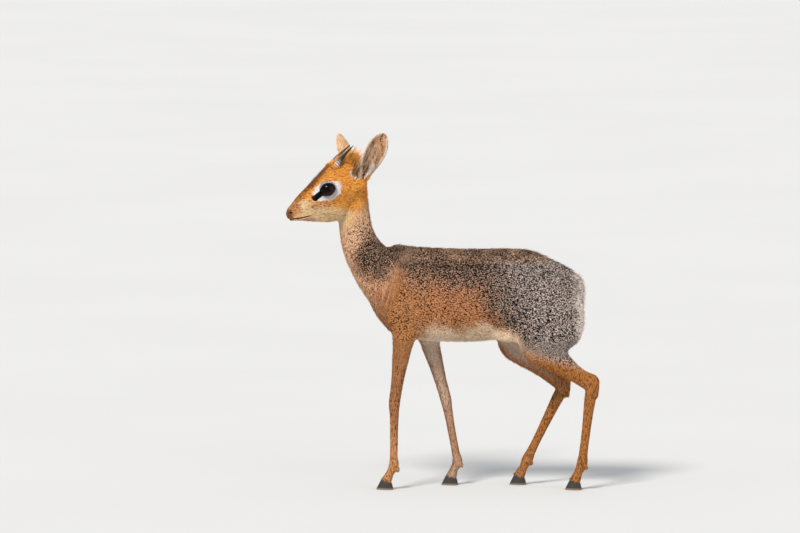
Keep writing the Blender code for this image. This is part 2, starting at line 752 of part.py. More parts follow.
def ribbon(name, path, reach_out, reach_in, thick):
    """A flat band that follows a path round the muzzle, cutting into it and out of it."""
    centre = Vector((MOUTH_CORNER_X + 0.01, 0, MOUTH_CORNER_HEIGHT))
    loops = []
    for point in path:
        away = Vector((point.x - centre.x, point.y, 0)).normalized()
        rise = Vector((0, 0, thick / 2))
        outer, inner = point + away * reach_out, point - away * reach_in
        loops.append([outer + rise, outer - rise, inner - rise, inner + rise])
    return ring_skin(name, loops)


def lip(name, path):
    """A thin roll of skin beside the mouth line, half sunk in the muzzle."""
    middle = Vector((MOUTH_CORNER_X - 0.010, 0, 0))
    rows = []
    for point in path:
        inward = (middle - Vector((point.x, point.y, 0))).normalized()
        rows.append(point + inward * LIP_RADIUS * LIP_SINK)
    loops = []
    for index, row in enumerate(rows):
        ahead, behind = rows[min(index + 1, len(rows) - 1)], rows[max(index - 1, 0)]
        along = (Vector(ahead) - Vector(behind)).normalized()
        across = Vector((0, 0, 1)).cross(along).normalized()
        ends = min(index, len(rows) - 1 - index)
        radius = LIP_RADIUS * min(1.0, 0.45 + 0.3 * ends)
        loops.append(
            [
                Vector(row) + (across * cos(turn) + along.cross(across) * sin(turn)) * radius
                for turn in np.arange(8) * 2 * pi / 8
            ]
        )
    return ring_skin(name, loops)


def on_line(line, share):
    """The point at a share of the way along a line of x and z points."""
    places = np.arange(len(line)) / (len(line) - 1)
    x, z = (float(np.interp(share, places, [point[axis] for point in line])) for axis in (0, 1))
    return Vector((x, 0.0, z))


def lock(root, tip, width, thick, turn):
    """A flat, tapered lock of hair that bows forward on its way from root to tip."""
    lean = (tip - root).normalized()
    flat = lean.cross(Vector((0, 1, 0))).normalized()
    flat.rotate(Matrix.Rotation(turn, 3, lean))
    across = lean.cross(flat)
    loops = []
    for step in range(LOCK_SECTIONS + 1):
        share = step / LOCK_SECTIONS
        centre = root.lerp(tip, share) - flat.normalized() * LOCK_BEND * sin(pi * share)
        half_width = width / 2 * (1 - share**2.5) * (0.75 + 0.5 * share) + LOCK_TIP
        half_thick = thick / 2 * (1 - share) ** 0.6 + LOCK_TIP / 2
        corners = ((half_width, 0), (0, half_thick), (-half_width, 0), (0, -half_thick))
        loops.append([centre + flat * wide + across * deep for wide, deep in corners])
    return ring_skin("lock", loops)


def crest():
    """A low core and the locks that overlap over it, shortest in front, leaning back like the horns."""
    draw = random.Random(CREST_SEED)
    pieces = [upright_tube("core", CREST_CORE, 0.3, 12, 2)]
    for row in range(CREST_ROWS):
        for across in (-1, 0, 1):
            place = (row + 0.35 * abs(across) + draw.uniform(-0.25, 0.25)) / (CREST_ROWS - 1)
            share = min(1.0, max(0.0, place))
            side = across * CREST_HALF_WIDTH * sin(pi * (0.15 + 0.7 * share))
            root = on_line(CREST_ROOTS, share) + Vector((0, side * 0.8, -0.002 * abs(across)))
            tip = on_line(CREST_TIPS, share)
            tip = root.lerp(tip, 1 - 0.14 * abs(across) - draw.uniform(0.0, 0.07))
            tip.y = side * CREST_FAN + draw.uniform(-0.0012, 0.0012)
            turn = LOCK_TURN * across + draw.uniform(-0.5, 0.5) * LOCK_TURN
            pieces.append(lock(root, tip, LOCK_WIDTH * draw.uniform(0.85, 1.15), LOCK_THICK, turn))
    return pieces


def face_cutters(surface):
    """What is taken out of the head: sockets, the slits between lids, mouth and nostrils."""
    cutters = []
    for side in (-1, 1):
        socket = EYE_RADIUS + GAP
        cutters.append(ball("socket", on_side(EYE_CENTRE, side), (socket,) * 3))
        cutters.append(eye_opening(side))
        cutters.append(horn("horn_hole", side, GAP))
        tilt = Matrix.Rotation(side * NOSTRIL_TURN, 3, "Z") @ Matrix.Rotation(NOSTRIL_TILT, 3, "Y")
        cutters.append(ball("nostril", on_side(NOSTRIL_CENTRE, side), NOSTRIL_SIZE, tilt, divisions=2))
    cutters.append(ribbon("mouth", mouth_path(surface), 0.004, MOUTH_DEPTH, MOUTH_SLOT))
    return cutters


def face_additions(surface):
    """What stands out from the head: lids, lips and the stubs that carry ears and horns."""
    additions = []
    for side in (-1, 1):
        lids = EYE_RADIUS + LID_THICK
        additions.append(ball("lids", on_side(EYE_CENTRE, side), (lids,) * 3))
        additions.append(ear_stub(side))
    offset = MOUTH_SLOT / 2 + LIP_RADIUS * 0.5
    additions.append(lip("upper_lip", mouth_path(surface, offset)))
    additions.append(lip("lower_lip", mouth_path(surface, -offset)))
    return additions


def ear_axes(side):
    """An ear's own axes in the head's frame before it turns: across, opening, along."""
    unturn = head_matrix().to_3x3().inverted()
    along = unturn @ (EAR_LEFT_AXIS if side < 0 else EAR_RIGHT_AXIS).normalized()
    opens = unturn @ (EAR_LEFT_OPENS if side < 0 else EAR_RIGHT_OPENS)
    opens = (opens - along * opens.dot(along)).normalized()
    return along.cross(opens), opens, along


def cone(name, root, along, length, wide_root, wide_end, sides=16):
    place = frame_along(root, along)
    turns = np.arange(sides) * 2 * pi / sides
    loops = []
    for reach, wide in ((0, wide_root), (length, wide_end)):
        loops.append([place @ Vector((wide * cos(turn), wide * sin(turn), reach)) for turn in turns])
    return ring_skin(name, loops)


def ear_base(side):
    """The thick base of an ear, tapering out of the skull."""
    _, _, along = ear_axes(side)
    root = on_side(EAR_ROOT, side)
    path = (on_side(EAR_BASE_START, side), root - along * 0.013, root - along * 0.006, root - along * 0.001)
    rings = [Ring(*point, radius, radius) for point, radius in zip(path, EAR_BASE_RADII)]
    return tube("ear_base", rings, sides=20)


def ear_stub(side):
    """The flat-topped stub that an ear stands on."""
    _, _, along = ear_axes(side)
    root = on_side(EAR_ROOT, side)
    wide = EAR_HALF_WIDTHS[0]
    return cone("stub", root - along * STUB_DEPTH, along, STUB_DEPTH, 0.8 * wide, wide)


def ear(name, side):
    """A leaf-shaped shell, one closed body: a cup above, and solid where it meets the head."""
    across, opens, along = ear_axes(side)
    root = on_side(EAR_ROOT, side) + along * GAP
    rows = smooth_rows(list(zip(EAR_HALF_WIDTHS, EAR_ROLLS)), 2)
    inner, outer = [], []
    for index, (half_width, roll) in enumerate(rows):
        share = index / (len(rows) - 1)
        roll = radians(roll)
        radius = half_width / (sin(roll) if roll < pi / 2 else 1)
        lean = EAR_LEAN_BACK * share**2
        centre = root + along * EAR_LENGTH * share + opens * (radius * cos(min(roll, pi / 2)) + lean)
        turns = np.linspace(-roll, roll, EAR_COLUMNS)
        outer.append([centre + across * radius * sin(turn) - opens * radius * cos(turn) for turn in turns])
        thick = EAR_THICK * (1 - EAR_TIP_THINNER * share)
        inside = max(radius - thick, radius * 0.2)
        inner.append([centre + across * inside * sin(turn) - opens * inside * cos(turn) for turn in turns])
    return shell(name, outer, inner)


def shell(name, outer, inner):
    """A sheet with two faces of like quads, split alike, closed round its edge."""
    rows, columns = len(outer), len(outer[0])
    points = [point for row in outer for point in row] + [point for row in inner for point in row]
    back = rows * columns
    faces = []
    for row in range(rows - 1):
        for column in range(columns - 1):
            a = row * columns + column
            b, c, d = a + 1, a + columns + 1, a + columns
            faces += [(a, b, c), (a, c, d), (back + a, back + c, back + b), (back + a, back + d, back + c)]
    edge = [column for column in range(columns)]
    edge += [row * columns + columns - 1 for row in range(1, rows)]
    edge += [(rows - 1) * columns + column for column in range(columns - 2, -1, -1)]
    edge += [row * columns for row in range(rows - 2, 0, -1)]
    for a, b in zip(edge, edge[1:] + edge[:1]):
        faces += [(a, back + a, back + b), (a, back + b, b)]
    obj = new_object(name, points, faces)
    face_outward(obj)
    return obj


def horn(name, side, grown=0.0):
    """A tapering spike with raised rings on its lower part, or the hole in the skull that it stands in."""
    root, tip = on_side(HORN_ROOT, side), on_side(HORN_TIP, side)
    length = (tip - root).length
    place = frame_along(root, tip - root)
    loops = []
    for row in range(HORN_ROWS):
        share = row / (HORN_ROWS - 1)
        radius = HORN_RADIUS * (1 - share) ** HORN_TAPER + HORN_TIP_RADIUS + grown
        wave = sin(pi * HORN_RINGS * share / HORN_RING_REACH) ** 2 if share < HORN_RING_REACH else 0
        radius += HORN_RING_RISE * wave
        bow = HORN_BOW * sin(pi * share)
        height = GAP - grown + (length - GAP) * share
        loops.append(
            [
                place @ Vector((radius * cos(turn) + bow, radius * sin(turn), height))
                for turn in np.arange(HORN_SIDES) * 2 * pi / HORN_SIDES
            ]
        )
    return ring_skin(name, loops)


def claw(name, joints, side, spread, half):
    """One claw of a hoof: flat below, a straight front wall, and flat where the two claws face."""
    x, _ = joints[-1]
    toe, heel = x - CLAW_TOE_REACH, x - CLAW_TOE_REACH + CLAW_LENGTH
    loops = []
    for lift, bevel in ((0.0, CLAW_BEVEL), (0.08, 0.0), (1.0, 0.0)):
        loop = []
        for step in range(10):
            share = step / 9
            along = toe + bevel + (heel - toe - 2 * bevel) * share
            along += lift * (CLAW_FRONT_SLOPE * (1 - share) - CLAW_HEEL_SLOPE * share)
            height = lift * (CLAW_HEIGHT + (HEEL_HEIGHT - CLAW_HEIGHT) * share)
            reach = GAP / 2 + (CLAW_WIDTH - bevel) * claw_swell(share) * (1 - 0.08 * lift)
            loop.append(Vector((along, side * spread + half * reach, height)))
        flat = [Vector((point.x, side * spread + half * GAP / 2, point.z)) for point in reversed(loop)]
        loops.append(loop + flat)
    return ring_skin(name, loops)


def claw_swell(share):
    """A claw's width from toe to heel, as a share of its greatest: a pointed toe, a round heel."""
    toe = sin(pi / 2 * min(1.0, (share + 0.05) / 0.65)) ** 0.8
    heel = sqrt(max(0.0, 1 - max(0.0, (share - 0.72) / 0.30) ** 2))
    return toe * heel


def tail(name, grown=0.0):
    """The tail, pointed at its tip, or what is cleared for it in the rump."""
    rings = [Ring(x, 0.0, z, deep + grown, wide + grown) for x, z, deep, wide in TAIL_RINGS]
    rings[0] = rings[0]._replace(x=rings[0].x - grown)
    return tube(name, rings, sides=14, steps=2)


def head(whole):
    """The skull's flesh cut from the neck, with its face."""
    combine(whole, [half_space(HEAD_CUT, -1)], "DIFFERENCE")
    whole.data.transform(head_matrix().inverted())
    points = [vertex.co for vertex in whole.data.vertices]
    surface = BVHTree.FromPolygons(points, [list(polygon.vertices) for polygon in whole.data.polygons])
    cutters = face_cutters(surface)
    combine(whole, face_additions(surface) + crest(), "UNION")
    combine(whole, cutters, "DIFFERENCE")
    whole.data.transform(head_matrix())
    whole = keep_largest(whole)
    whole.name = "head"
    paint(whole, "face")
    return whole


def face_parts():
    """Eyes, ears and horns, each its own object."""
    pieces = []
    for side, word in ((-1, "left"), (1, "right")):
        eye = ball(f"eye_{word}", on_side(EYE_CENTRE, side), (EYE_RADIUS,) * 3)
        paint(eye, "eye")
        listening = ear(f"ear_{word}", side)
        paint(listening, "ear")
        spike = horn(f"horn_{word}", side)
        paint(spike, "horn")
        pieces += [eye, listening, spike]
    return turn_head(pieces)


def hooves():
    pieces = []
    feet = (
        ("fore", "left", FORE_LEFT, -1, FORE_SPREAD),
        ("fore", "right", FORE_RIGHT, 1, FORE_SPREAD),
        ("hind", "left", HIND_LEFT, -1, HIND_SPREAD),
        ("hind", "right", HIND_RIGHT, 1, HIND_SPREAD),
    )
    for end, word, joints, side, spread in feet:
        for half, place in ((-1, "left"), (1, "right")):
            piece = claw(f"hoof_{end}_{word}_{place}_claw", joints, side, spread, half)
            paint(piece, "hoof")
            pieces.append(piece)
    return pieces


def centre_on_origin(pieces):
    """Stands the model over the origin: the middle of its box in X and Y, its soles at Z = 0."""
    corners = np.array([vertex.co for piece in pieces for vertex in piece.data.vertices])
    low, high = corners.min(axis=0), corners.max(axis=0)
    shift = Matrix.Translation((-(low[0] + high[0]) / 2, -(low[1] + high[1]) / 2, -low[2]))
    for piece in pieces:
        piece.data.transform(shift)
        piece.data.update()


def main():
    clear_scene()
    whole = flesh()
    pieces = [head(reduced(whole, "head", HEAD_TRIANGLES))]
    pieces += parted(reduced(whole, "body", BODY_TRIANGLES))
    bpy.data.objects.remove(whole, do_unlink=True)
    pieces += face_parts() + hooves()
    pieces.append(tail("tail"))
    paint(pieces[-1], "tail")
    centre_on_origin(pieces)


main()
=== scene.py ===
"""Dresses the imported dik-dik: one skin under a coat of tufts, with eyes, horns and hooves.

Metres, in the frame's own axes: the buck faces -X, its left side is toward -Y, and it stands on Z = 0.
"""

from collections import namedtuple
from math import cos, pi, radians, sin

import bmesh
import bpy
import numpy as np
from mathutils import Matrix, Vector


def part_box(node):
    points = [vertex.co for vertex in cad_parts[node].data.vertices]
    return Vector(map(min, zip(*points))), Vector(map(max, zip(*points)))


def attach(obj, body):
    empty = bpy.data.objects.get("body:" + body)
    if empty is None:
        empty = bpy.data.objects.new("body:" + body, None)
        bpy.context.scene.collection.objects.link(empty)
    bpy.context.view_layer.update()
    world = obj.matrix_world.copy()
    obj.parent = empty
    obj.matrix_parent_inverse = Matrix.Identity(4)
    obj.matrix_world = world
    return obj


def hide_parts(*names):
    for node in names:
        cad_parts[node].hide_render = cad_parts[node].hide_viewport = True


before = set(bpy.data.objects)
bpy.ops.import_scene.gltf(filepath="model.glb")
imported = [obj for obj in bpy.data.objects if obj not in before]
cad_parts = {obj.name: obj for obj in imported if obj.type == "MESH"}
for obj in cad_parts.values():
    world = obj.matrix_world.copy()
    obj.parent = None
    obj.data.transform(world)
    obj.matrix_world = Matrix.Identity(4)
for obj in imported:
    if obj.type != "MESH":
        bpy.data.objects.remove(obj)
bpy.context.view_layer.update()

bl_info = {
    "name": "Dik-dik dressing",
    "version": (1, 0, 0),
    "blender": (4, 5, 0),
    "location": "3D View > Sidebar > Dik-dik",
    "description": "Builds the skin, coat, eyes, horns, hooves and stage round the packed dik-dik",
    "category": "Object",
}

# What the frame says
FLESH = ("head", "neck", "torso", "tail", "ear_left", "ear_right",
         "foreleg_left", "foreleg_right", "hindleg_left", "hindleg_right")
HOOVES = tuple(name for name in sorted(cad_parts) if name.startswith("hoof_"))


def node_centre(name):
    low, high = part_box(name)
    return (low + high) / 2


MIDLINE = node_centre("tail").y
EYES = {side: node_centre(f"eye_{side}") for side in ("left", "right")}
EYE_RADIUS = (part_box("eye_left")[1].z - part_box("eye_left")[0].z) / 2
SIGNS = {"left": -1, "right": 1}

# The head is drawn facing ahead and turned to the left about the nape
HEAD_TURN = radians(18)
NAPE = Vector((-0.1372, MIDLINE, 0.0))
# How far along X the head's own frame starts
HEAD_SHIFT = 0.0008
HEAD_MATRIX = Matrix.Translation(NAPE) @ Matrix.Rotation(HEAD_TURN, 4, "Z") @ Matrix.Translation(-NAPE)

# The top of the skull under the crest, as x and z in the head's own frame
SKULL_TOP = ((-0.196, 0.4915), (-0.190, 0.4962), (-0.180, 0.5045), (-0.167, 0.5095),
             (-0.154, 0.5085), (-0.142, 0.5035), (-0.132, 0.4980), (-0.116, 0.4960))
CREST_REACH = 0.016

# How fine the skin and the hooves are, and how many rounds of smoothing they get
SKIN_GRID = 0.00115
SKIN_TRIANGLES = 190000
SKIN_ROUNDS = 24
HOOF_GRID = 0.00055
HOOF_ROUNDS = 5
# The gap between the solids, and the depth of the skin on the ears, which are nearly bare
NODE_GAP = 0.0003
EAR_DEPTH = 0.0002

# The coat at a few named places: where, which way it lies, how long and how wide its tufts are
Place = namedtuple("Place", "x out z along outward down length width lift", defaults=(13,))
COAT = {
    "nose": Place(-0.243, 0.004, 0.433, 0.8, 0.25, -0.5, 0.0016, 0.0004, 8),
    "muzzle": Place(-0.226, 0.01, 0.447, 0.85, 0.1, -0.42, 0.0024, 0.00042, 8),
    "upper_lip": Place(-0.228, 0.01, 0.427, 0.98, 0.1, 0.15, 0.0022, 0.0004, 9),
    "chin": Place(-0.222, 0.004, 0.417, 1, 0, 0.1, 0.0036, 0.00045, 14),
    "brow": Place(-0.203, 0.004, 0.485, 0.72, 0.05, -0.68, 0.0058, 0.0005, 38),
    "before_eye": Place(-0.21, 0.016, 0.455, 0.95, 0.2, -0.1, 0.0022, 0.0004, 8),
    "under_eye": Place(-0.188, 0.026, 0.445, 0.95, 0.1, 0.28, 0.0032, 0.00045, 9),
    "over_eye": Place(-0.186, 0.022, 0.488, 0.92, 0.1, -0.35, 0.0034, 0.00045, 12),
    "crown": Place(-0.164, 0.01, 0.506, 0.95, 0, -0.25, 0.007, 0.0006, 24),
    "temple": Place(-0.158, 0.028, 0.47, 0.98, 0, 0.1, 0.0045, 0.0005, 9),
    "cheek": Place(-0.172, 0.026, 0.436, 0.9, 0, 0.42, 0.0056, 0.00055, 12),
    "jaw": Place(-0.18, 0.01, 0.415, 0.98, 0, 0.15, 0.006, 0.00055, 16),
    "jaw_angle": Place(-0.152, 0.02, 0.425, 0.6, 0, 0.8, 0.007, 0.0006),
    "throat": Place(-0.158, 0.01, 0.4, 0.22, 0, 0.98, 0.008, 0.00065, 15),
    "nape": Place(-0.116, 0.01, 0.45, 0.18, 0, 0.98, 0.0085, 0.00065, 16),
    "neck": Place(-0.132, 0.024, 0.395, 0.15, 0, 0.98, 0.0085, 0.0007),
    "neck_front": Place(-0.138, 0.01, 0.35, 0.3, 0, 0.95, 0.0095, 0.00075),
    "neck_root": Place(-0.098, 0.02, 0.36, 0.62, 0, 0.78, 0.0095, 0.00075),
    "breast": Place(-0.095, 0.01, 0.29, 0.4, 0, 0.92, 0.0105, 0.0008),
    "shoulder": Place(-0.06, 0.045, 0.305, 0.72, 0, 0.68, 0.009, 0.00075),
    "withers": Place(-0.055, 0.005, 0.374, 0.96, 0, 0.12, 0.01, 0.0008, 16),
    "back": Place(0.04, 0.01, 0.373, 0.99, 0, 0.06, 0.0115, 0.00085),
    "loin": Place(0.11, 0.01, 0.373, 0.98, 0, 0.12, 0.012, 0.00085),
    "ribs": Place(0.02, 0.05, 0.31, 0.94, 0, 0.34, 0.01, 0.0008),
    "flank": Place(0.06, 0.048, 0.265, 0.9, 0, 0.42, 0.0095, 0.0008),
    "belly": Place(0.03, 0.01, 0.228, 0.99, 0, 0.12, 0.01, 0.00085, 16),
    "haunch": Place(0.13, 0.045, 0.32, 0.84, 0, 0.54, 0.0115, 0.00085),
    "croup": Place(0.175, 0.015, 0.352, 0.82, 0, 0.58, 0.0125, 0.0009, 16),
    "seat": Place(0.212, 0.015, 0.29, 0.3, 0, 0.95, 0.013, 0.0009, 20),
    "thigh": Place(0.165, 0.05, 0.275, 0.55, 0, 0.83, 0.0105, 0.00085),
    "stifle": Place(0.13, 0.045, 0.225, 0.45, 0, 0.9, 0.0085, 0.00075),
    "gaskin": Place(0.185, 0.04, 0.2, 0.6, 0, 0.8, 0.007, 0.00065),
    "elbow": Place(-0.06, 0.038, 0.245, 0.25, 0, 0.97, 0.007, 0.00065),
    "far_elbow": Place(-0.025, 0.038, 0.245, 0.2, 0, 0.97, 0.007, 0.00065),
    "forearm": Place(-0.068, 0.033, 0.18, 0.03, 0, 1, 0.0045, 0.00055),
    "far_forearm": Place(-0.01, 0.033, 0.18, -0.2, 0, 1, 0.0045, 0.00055),
    "knee": Place(-0.076, 0.033, 0.125, 0, 0, 1, 0.0034, 0.0005, 9),
    "far_knee": Place(0.006, 0.033, 0.125, 0.2, 0, 1, 0.0034, 0.0005, 9),
    "cannon": Place(-0.078, 0.033, 0.07, 0, 0, 1, 0.003, 0.00045, 9),
    "far_cannon": Place(0.015, 0.033, 0.07, 0.15, 0, 1, 0.003, 0.00045, 9),
    "fetlock": Place(-0.084, 0.033, 0.022, -0.3, 0, 1, 0.0034, 0.00045),
    "far_fetlock": Place(0.018, 0.033, 0.022, -0.2, 0, 1, 0.0034, 0.00045),
    "hock": Place(0.228, 0.036, 0.16, 0.2, 0, 1, 0.0042, 0.0005),
    "far_hock": Place(0.184, 0.036, 0.155, 0, 0, 1, 0.0042, 0.0005),
    "hind_cannon": Place(0.22, 0.036, 0.09, -0.1, 0, 1, 0.0032, 0.00045, 9),
    "far_hind_cannon": Place(0.155, 0.036, 0.09, -0.42, 0, 1, 0.0032, 0.00045, 9),
    "hind_fetlock": Place(0.21, 0.036, 0.022, -0.3, 0, 1, 0.0034, 0.00045),
    "far_hind_fetlock": Place(0.125, 0.036, 0.022, -0.3, 0, 1, 0.0034, 0.00045),
    "tail": Place(0.216, 0.002, 0.31, 0.1, 0, 1, 0.011, 0.0008, 22),
}
# How near a place has its own coat alone
PLACE_REACH = 0.008
# The skin lies under the solids by this share of the coat's length
COAT_DEPTH = 0.26
COAT_SEED = 11
# Where the coat's pieces meet: along head_line and neck_line, as a height, and as places along X
HEAD_FROM = 0.402
NECK_UP_TO = -0.078
LEGS_BELOW = 0.200
REAR_FROM = 0.085
HIND_LEGS_FROM = 0.07


def smooth_step(values, low, high):
    """0 at low, 1 at high, smooth between them."""
    share = np.clip((np.asarray(values, float) - low) / (high - low), 0, 1)
    return share * share * (3 - 2 * share)


def lengths(vectors):
    return np.sqrt((vectors * vectors).sum(axis=1))


def unit(vectors):
    return vectors / np.maximum(lengths(vectors), 1e-12)[:, None]


def to_head(points):
    """Points in the head's own frame, in which it faces straight ahead."""
    turn = np.array(HEAD_MATRIX.inverted())
    moved = np.asarray(points, float) @ turn[:3, :3].T + turn[:3, 3]
    return moved - (HEAD_SHIFT, MIDLINE, 0.0)


def from_head(x, y, z):
    """A point given in the head's own frame, in the model's."""
    return HEAD_MATRIX @ Vector((x + HEAD_SHIFT, y + MIDLINE, z))


def head_line(x, z):
    """A measure that rises across the slanting border of neck and head, also of arrays and shader values."""
    return z * 0.72 - x * 0.70


def neck_line(x, z):
    """A measure that rises across the slanting border of neck and trunk."""
    return x - 0.42 * (z - 0.30)


def coat_at(points):
    """How the coat is at each point: which way it lies, its length, its width and its lift."""
    places = np.array(list(COAT.values()))
    head = to_head(points)
    turned = smooth_step(head_line(points[:, 0], points[:, 2]), 0.385, 0.410)
    ahead = points - (HEAD_SHIFT, MIDLINE, 0)
    where = ahead * (1 - turned)[:, None] + head * turned[:, None]
    side = np.sign(where[:, 1])
    where[:, 1] = np.abs(where[:, 1])
    weights = np.zeros((len(points), len(places)))
    for column, place in enumerate(places):
        apart = ((where - place[:3]) ** 2).sum(axis=1)
        weights[:, column] = 1 / (apart + PLACE_REACH**2) ** 2
    weights /= weights.sum(axis=1)[:, None]
    mixed = weights @ places[:, 3:]
    lie = unit(np.stack([mixed[:, 0], mixed[:, 1] * side, -mixed[:, 2]], axis=1))
    angle = HEAD_TURN * turned
    lie = np.stack(
        [
            lie[:, 0] * np.cos(angle) - lie[:, 1] * np.sin(angle),
            lie[:, 0] * np.sin(angle) + lie[:, 1] * np.cos(angle),
            lie[:, 2],
        ],
        axis=1,
    )
    return lie, mixed[:, 3], mixed[:, 4], np.radians(mixed[:, 5])


def link(obj):
    bpy.context.scene.collection.objects.link(obj)
    return obj


def new_mesh(name, points, faces):
    """An object from an array of points and one of faces with alike corner counts."""
    points = np.asarray(points, np.float32)
    faces = np.asarray(faces, np.int32)
    mesh = bpy.data.meshes.new(name)
    mesh.vertices.add(len(points))
    mesh.vertices.foreach_set("co", points.ravel())
    mesh.loops.add(faces.size)
    mesh.loops.foreach_set("vertex_index", faces.ravel())
    mesh.polygons.add(len(faces))
    mesh.polygons.foreach_set("loop_start", np.arange(len(faces), dtype=np.int32) * faces.shape[1])
    mesh.update(calc_edges=True)
    return link(bpy.data.objects.new(name, mesh))


def object_of(name, shape):
    """A new object that takes over a bmesh."""
    mesh = bpy.data.meshes.new(name)
    shape.to_mesh(mesh)
    shape.free()
    return link(bpy.data.objects.new(name, mesh))


def grid_faces(rows, columns, ring=False):
    """Quads between rows of points. Each row closes on itself, and a ring's last row meets its first."""
    row, column = np.meshgrid(np.arange(rows if ring else rows - 1), np.arange(columns), indexing="ij")
    after, over = (column + 1) % columns, (row + 1) % rows
    low, high = row * columns, over * columns
    return np.stack([low + column, low + after, high + after, high + column], axis=2).reshape(-1, 4)


def points_of(obj):
    points = np.empty(len(obj.data.vertices) * 3, np.float32)
    obj.data.vertices.foreach_get("co", points)
    return points.reshape(-1, 3).astype(float)


def move_points(obj, points):
    obj.data.vertices.foreach_set("co", points.astype(np.float32).ravel())
    obj.data.update()


def triangles_of(obj):
    mesh = obj.data
    mesh.calc_loop_triangles()
    corners = np.empty(len(mesh.loop_triangles) * 3, np.int32)
    mesh.loop_triangles.foreach_get("vertices", corners)
    return corners.reshape(-1, 3)


def apply_modifier(obj, kind, **settings):
    """Adds a modifier and makes its result the object's own mesh."""
    modifier = obj.modifiers.new(kind, kind)
    for name, value in settings.items():
        setattr(modifier, name, value)
    graph = bpy.context.evaluated_depsgraph_get()
    mesh = bpy.data.meshes.new_from_object(obj.evaluated_get(graph))
    obj.modifiers.clear()
    old, obj.data = obj.data, mesh
    bpy.data.meshes.remove(old)
    return obj


def copy_node(name, grown=0.0):
    """A welded copy of a CAD node, swollen by a little."""
    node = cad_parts[name]
    shape = bmesh.new()
    shape.from_mesh(node.data)
    bmesh.ops.remove_doubles(shape, verts=shape.verts, dist=1e-6)
    shape.normal_update()
    moves = [vertex.normal * grown for vertex in shape.verts]
    for vertex, move in zip(shape.verts, moves):
        vertex.co += move
    return object_of(name + "_copy", shape)


def join_objects(name, pieces):
    """One object that holds the meshes of several, which are removed."""
    shape = bmesh.new()
    for piece in pieces:
        shape.from_mesh(piece.data)
        bpy.data.objects.remove(piece, do_unlink=True)
    return object_of(name, shape)


def finish_piece(obj, material, replaced=(), smooth=True):
    """Gives a finished piece its material and ties it to the frame."""
    obj.data.materials.clear()
    obj.data.materials.append(material)
    if smooth:
        obj.data.shade_smooth()
    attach(obj, "root")
    if replaced:
        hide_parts(*replaced)
    return obj


class Value:
    """A value in a shader. Python's operators on it add Math nodes."""

    def __init__(self, shader, socket):
        self.shader = shader
        self.socket = socket

    def maths(self, operation, *inputs):
        return self.shader.value("ShaderNodeMath", {"operation": operation}, dict(enumerate(inputs)))

    def __add__(self, other):
        return self.maths("ADD", self, other)

    __radd__ = __add__

    def __sub__(self, other):
        return self.maths("SUBTRACT", self, other)

    def __rsub__(self, other):
        return self.maths("SUBTRACT", other, self)

    def __mul__(self, other):
        return self.maths("MULTIPLY", self, other)

    __rmul__ = __mul__

    def __truediv__(self, other):
        return self.maths("DIVIDE", self, other)

    def __abs__(self):
        return self.maths("ABSOLUTE", self)

    def sine(self):
        return self.maths("SINE", self)

    def step(self, low, high):
        """0 at low, 1 at high, smooth between them; falling where low is the greater."""
        return self.shader.value(
            "ShaderNodeMapRange",
            {"interpolation_type": "SMOOTHSTEP"},
            {0: self, 1: low, 2: high, 3: 0.0, 4: 1.0},
        )


def least(first, second):
    return first.maths("MINIMUM", first, second)


def most(first, second):
    return first.maths("MAXIMUM", first, second)


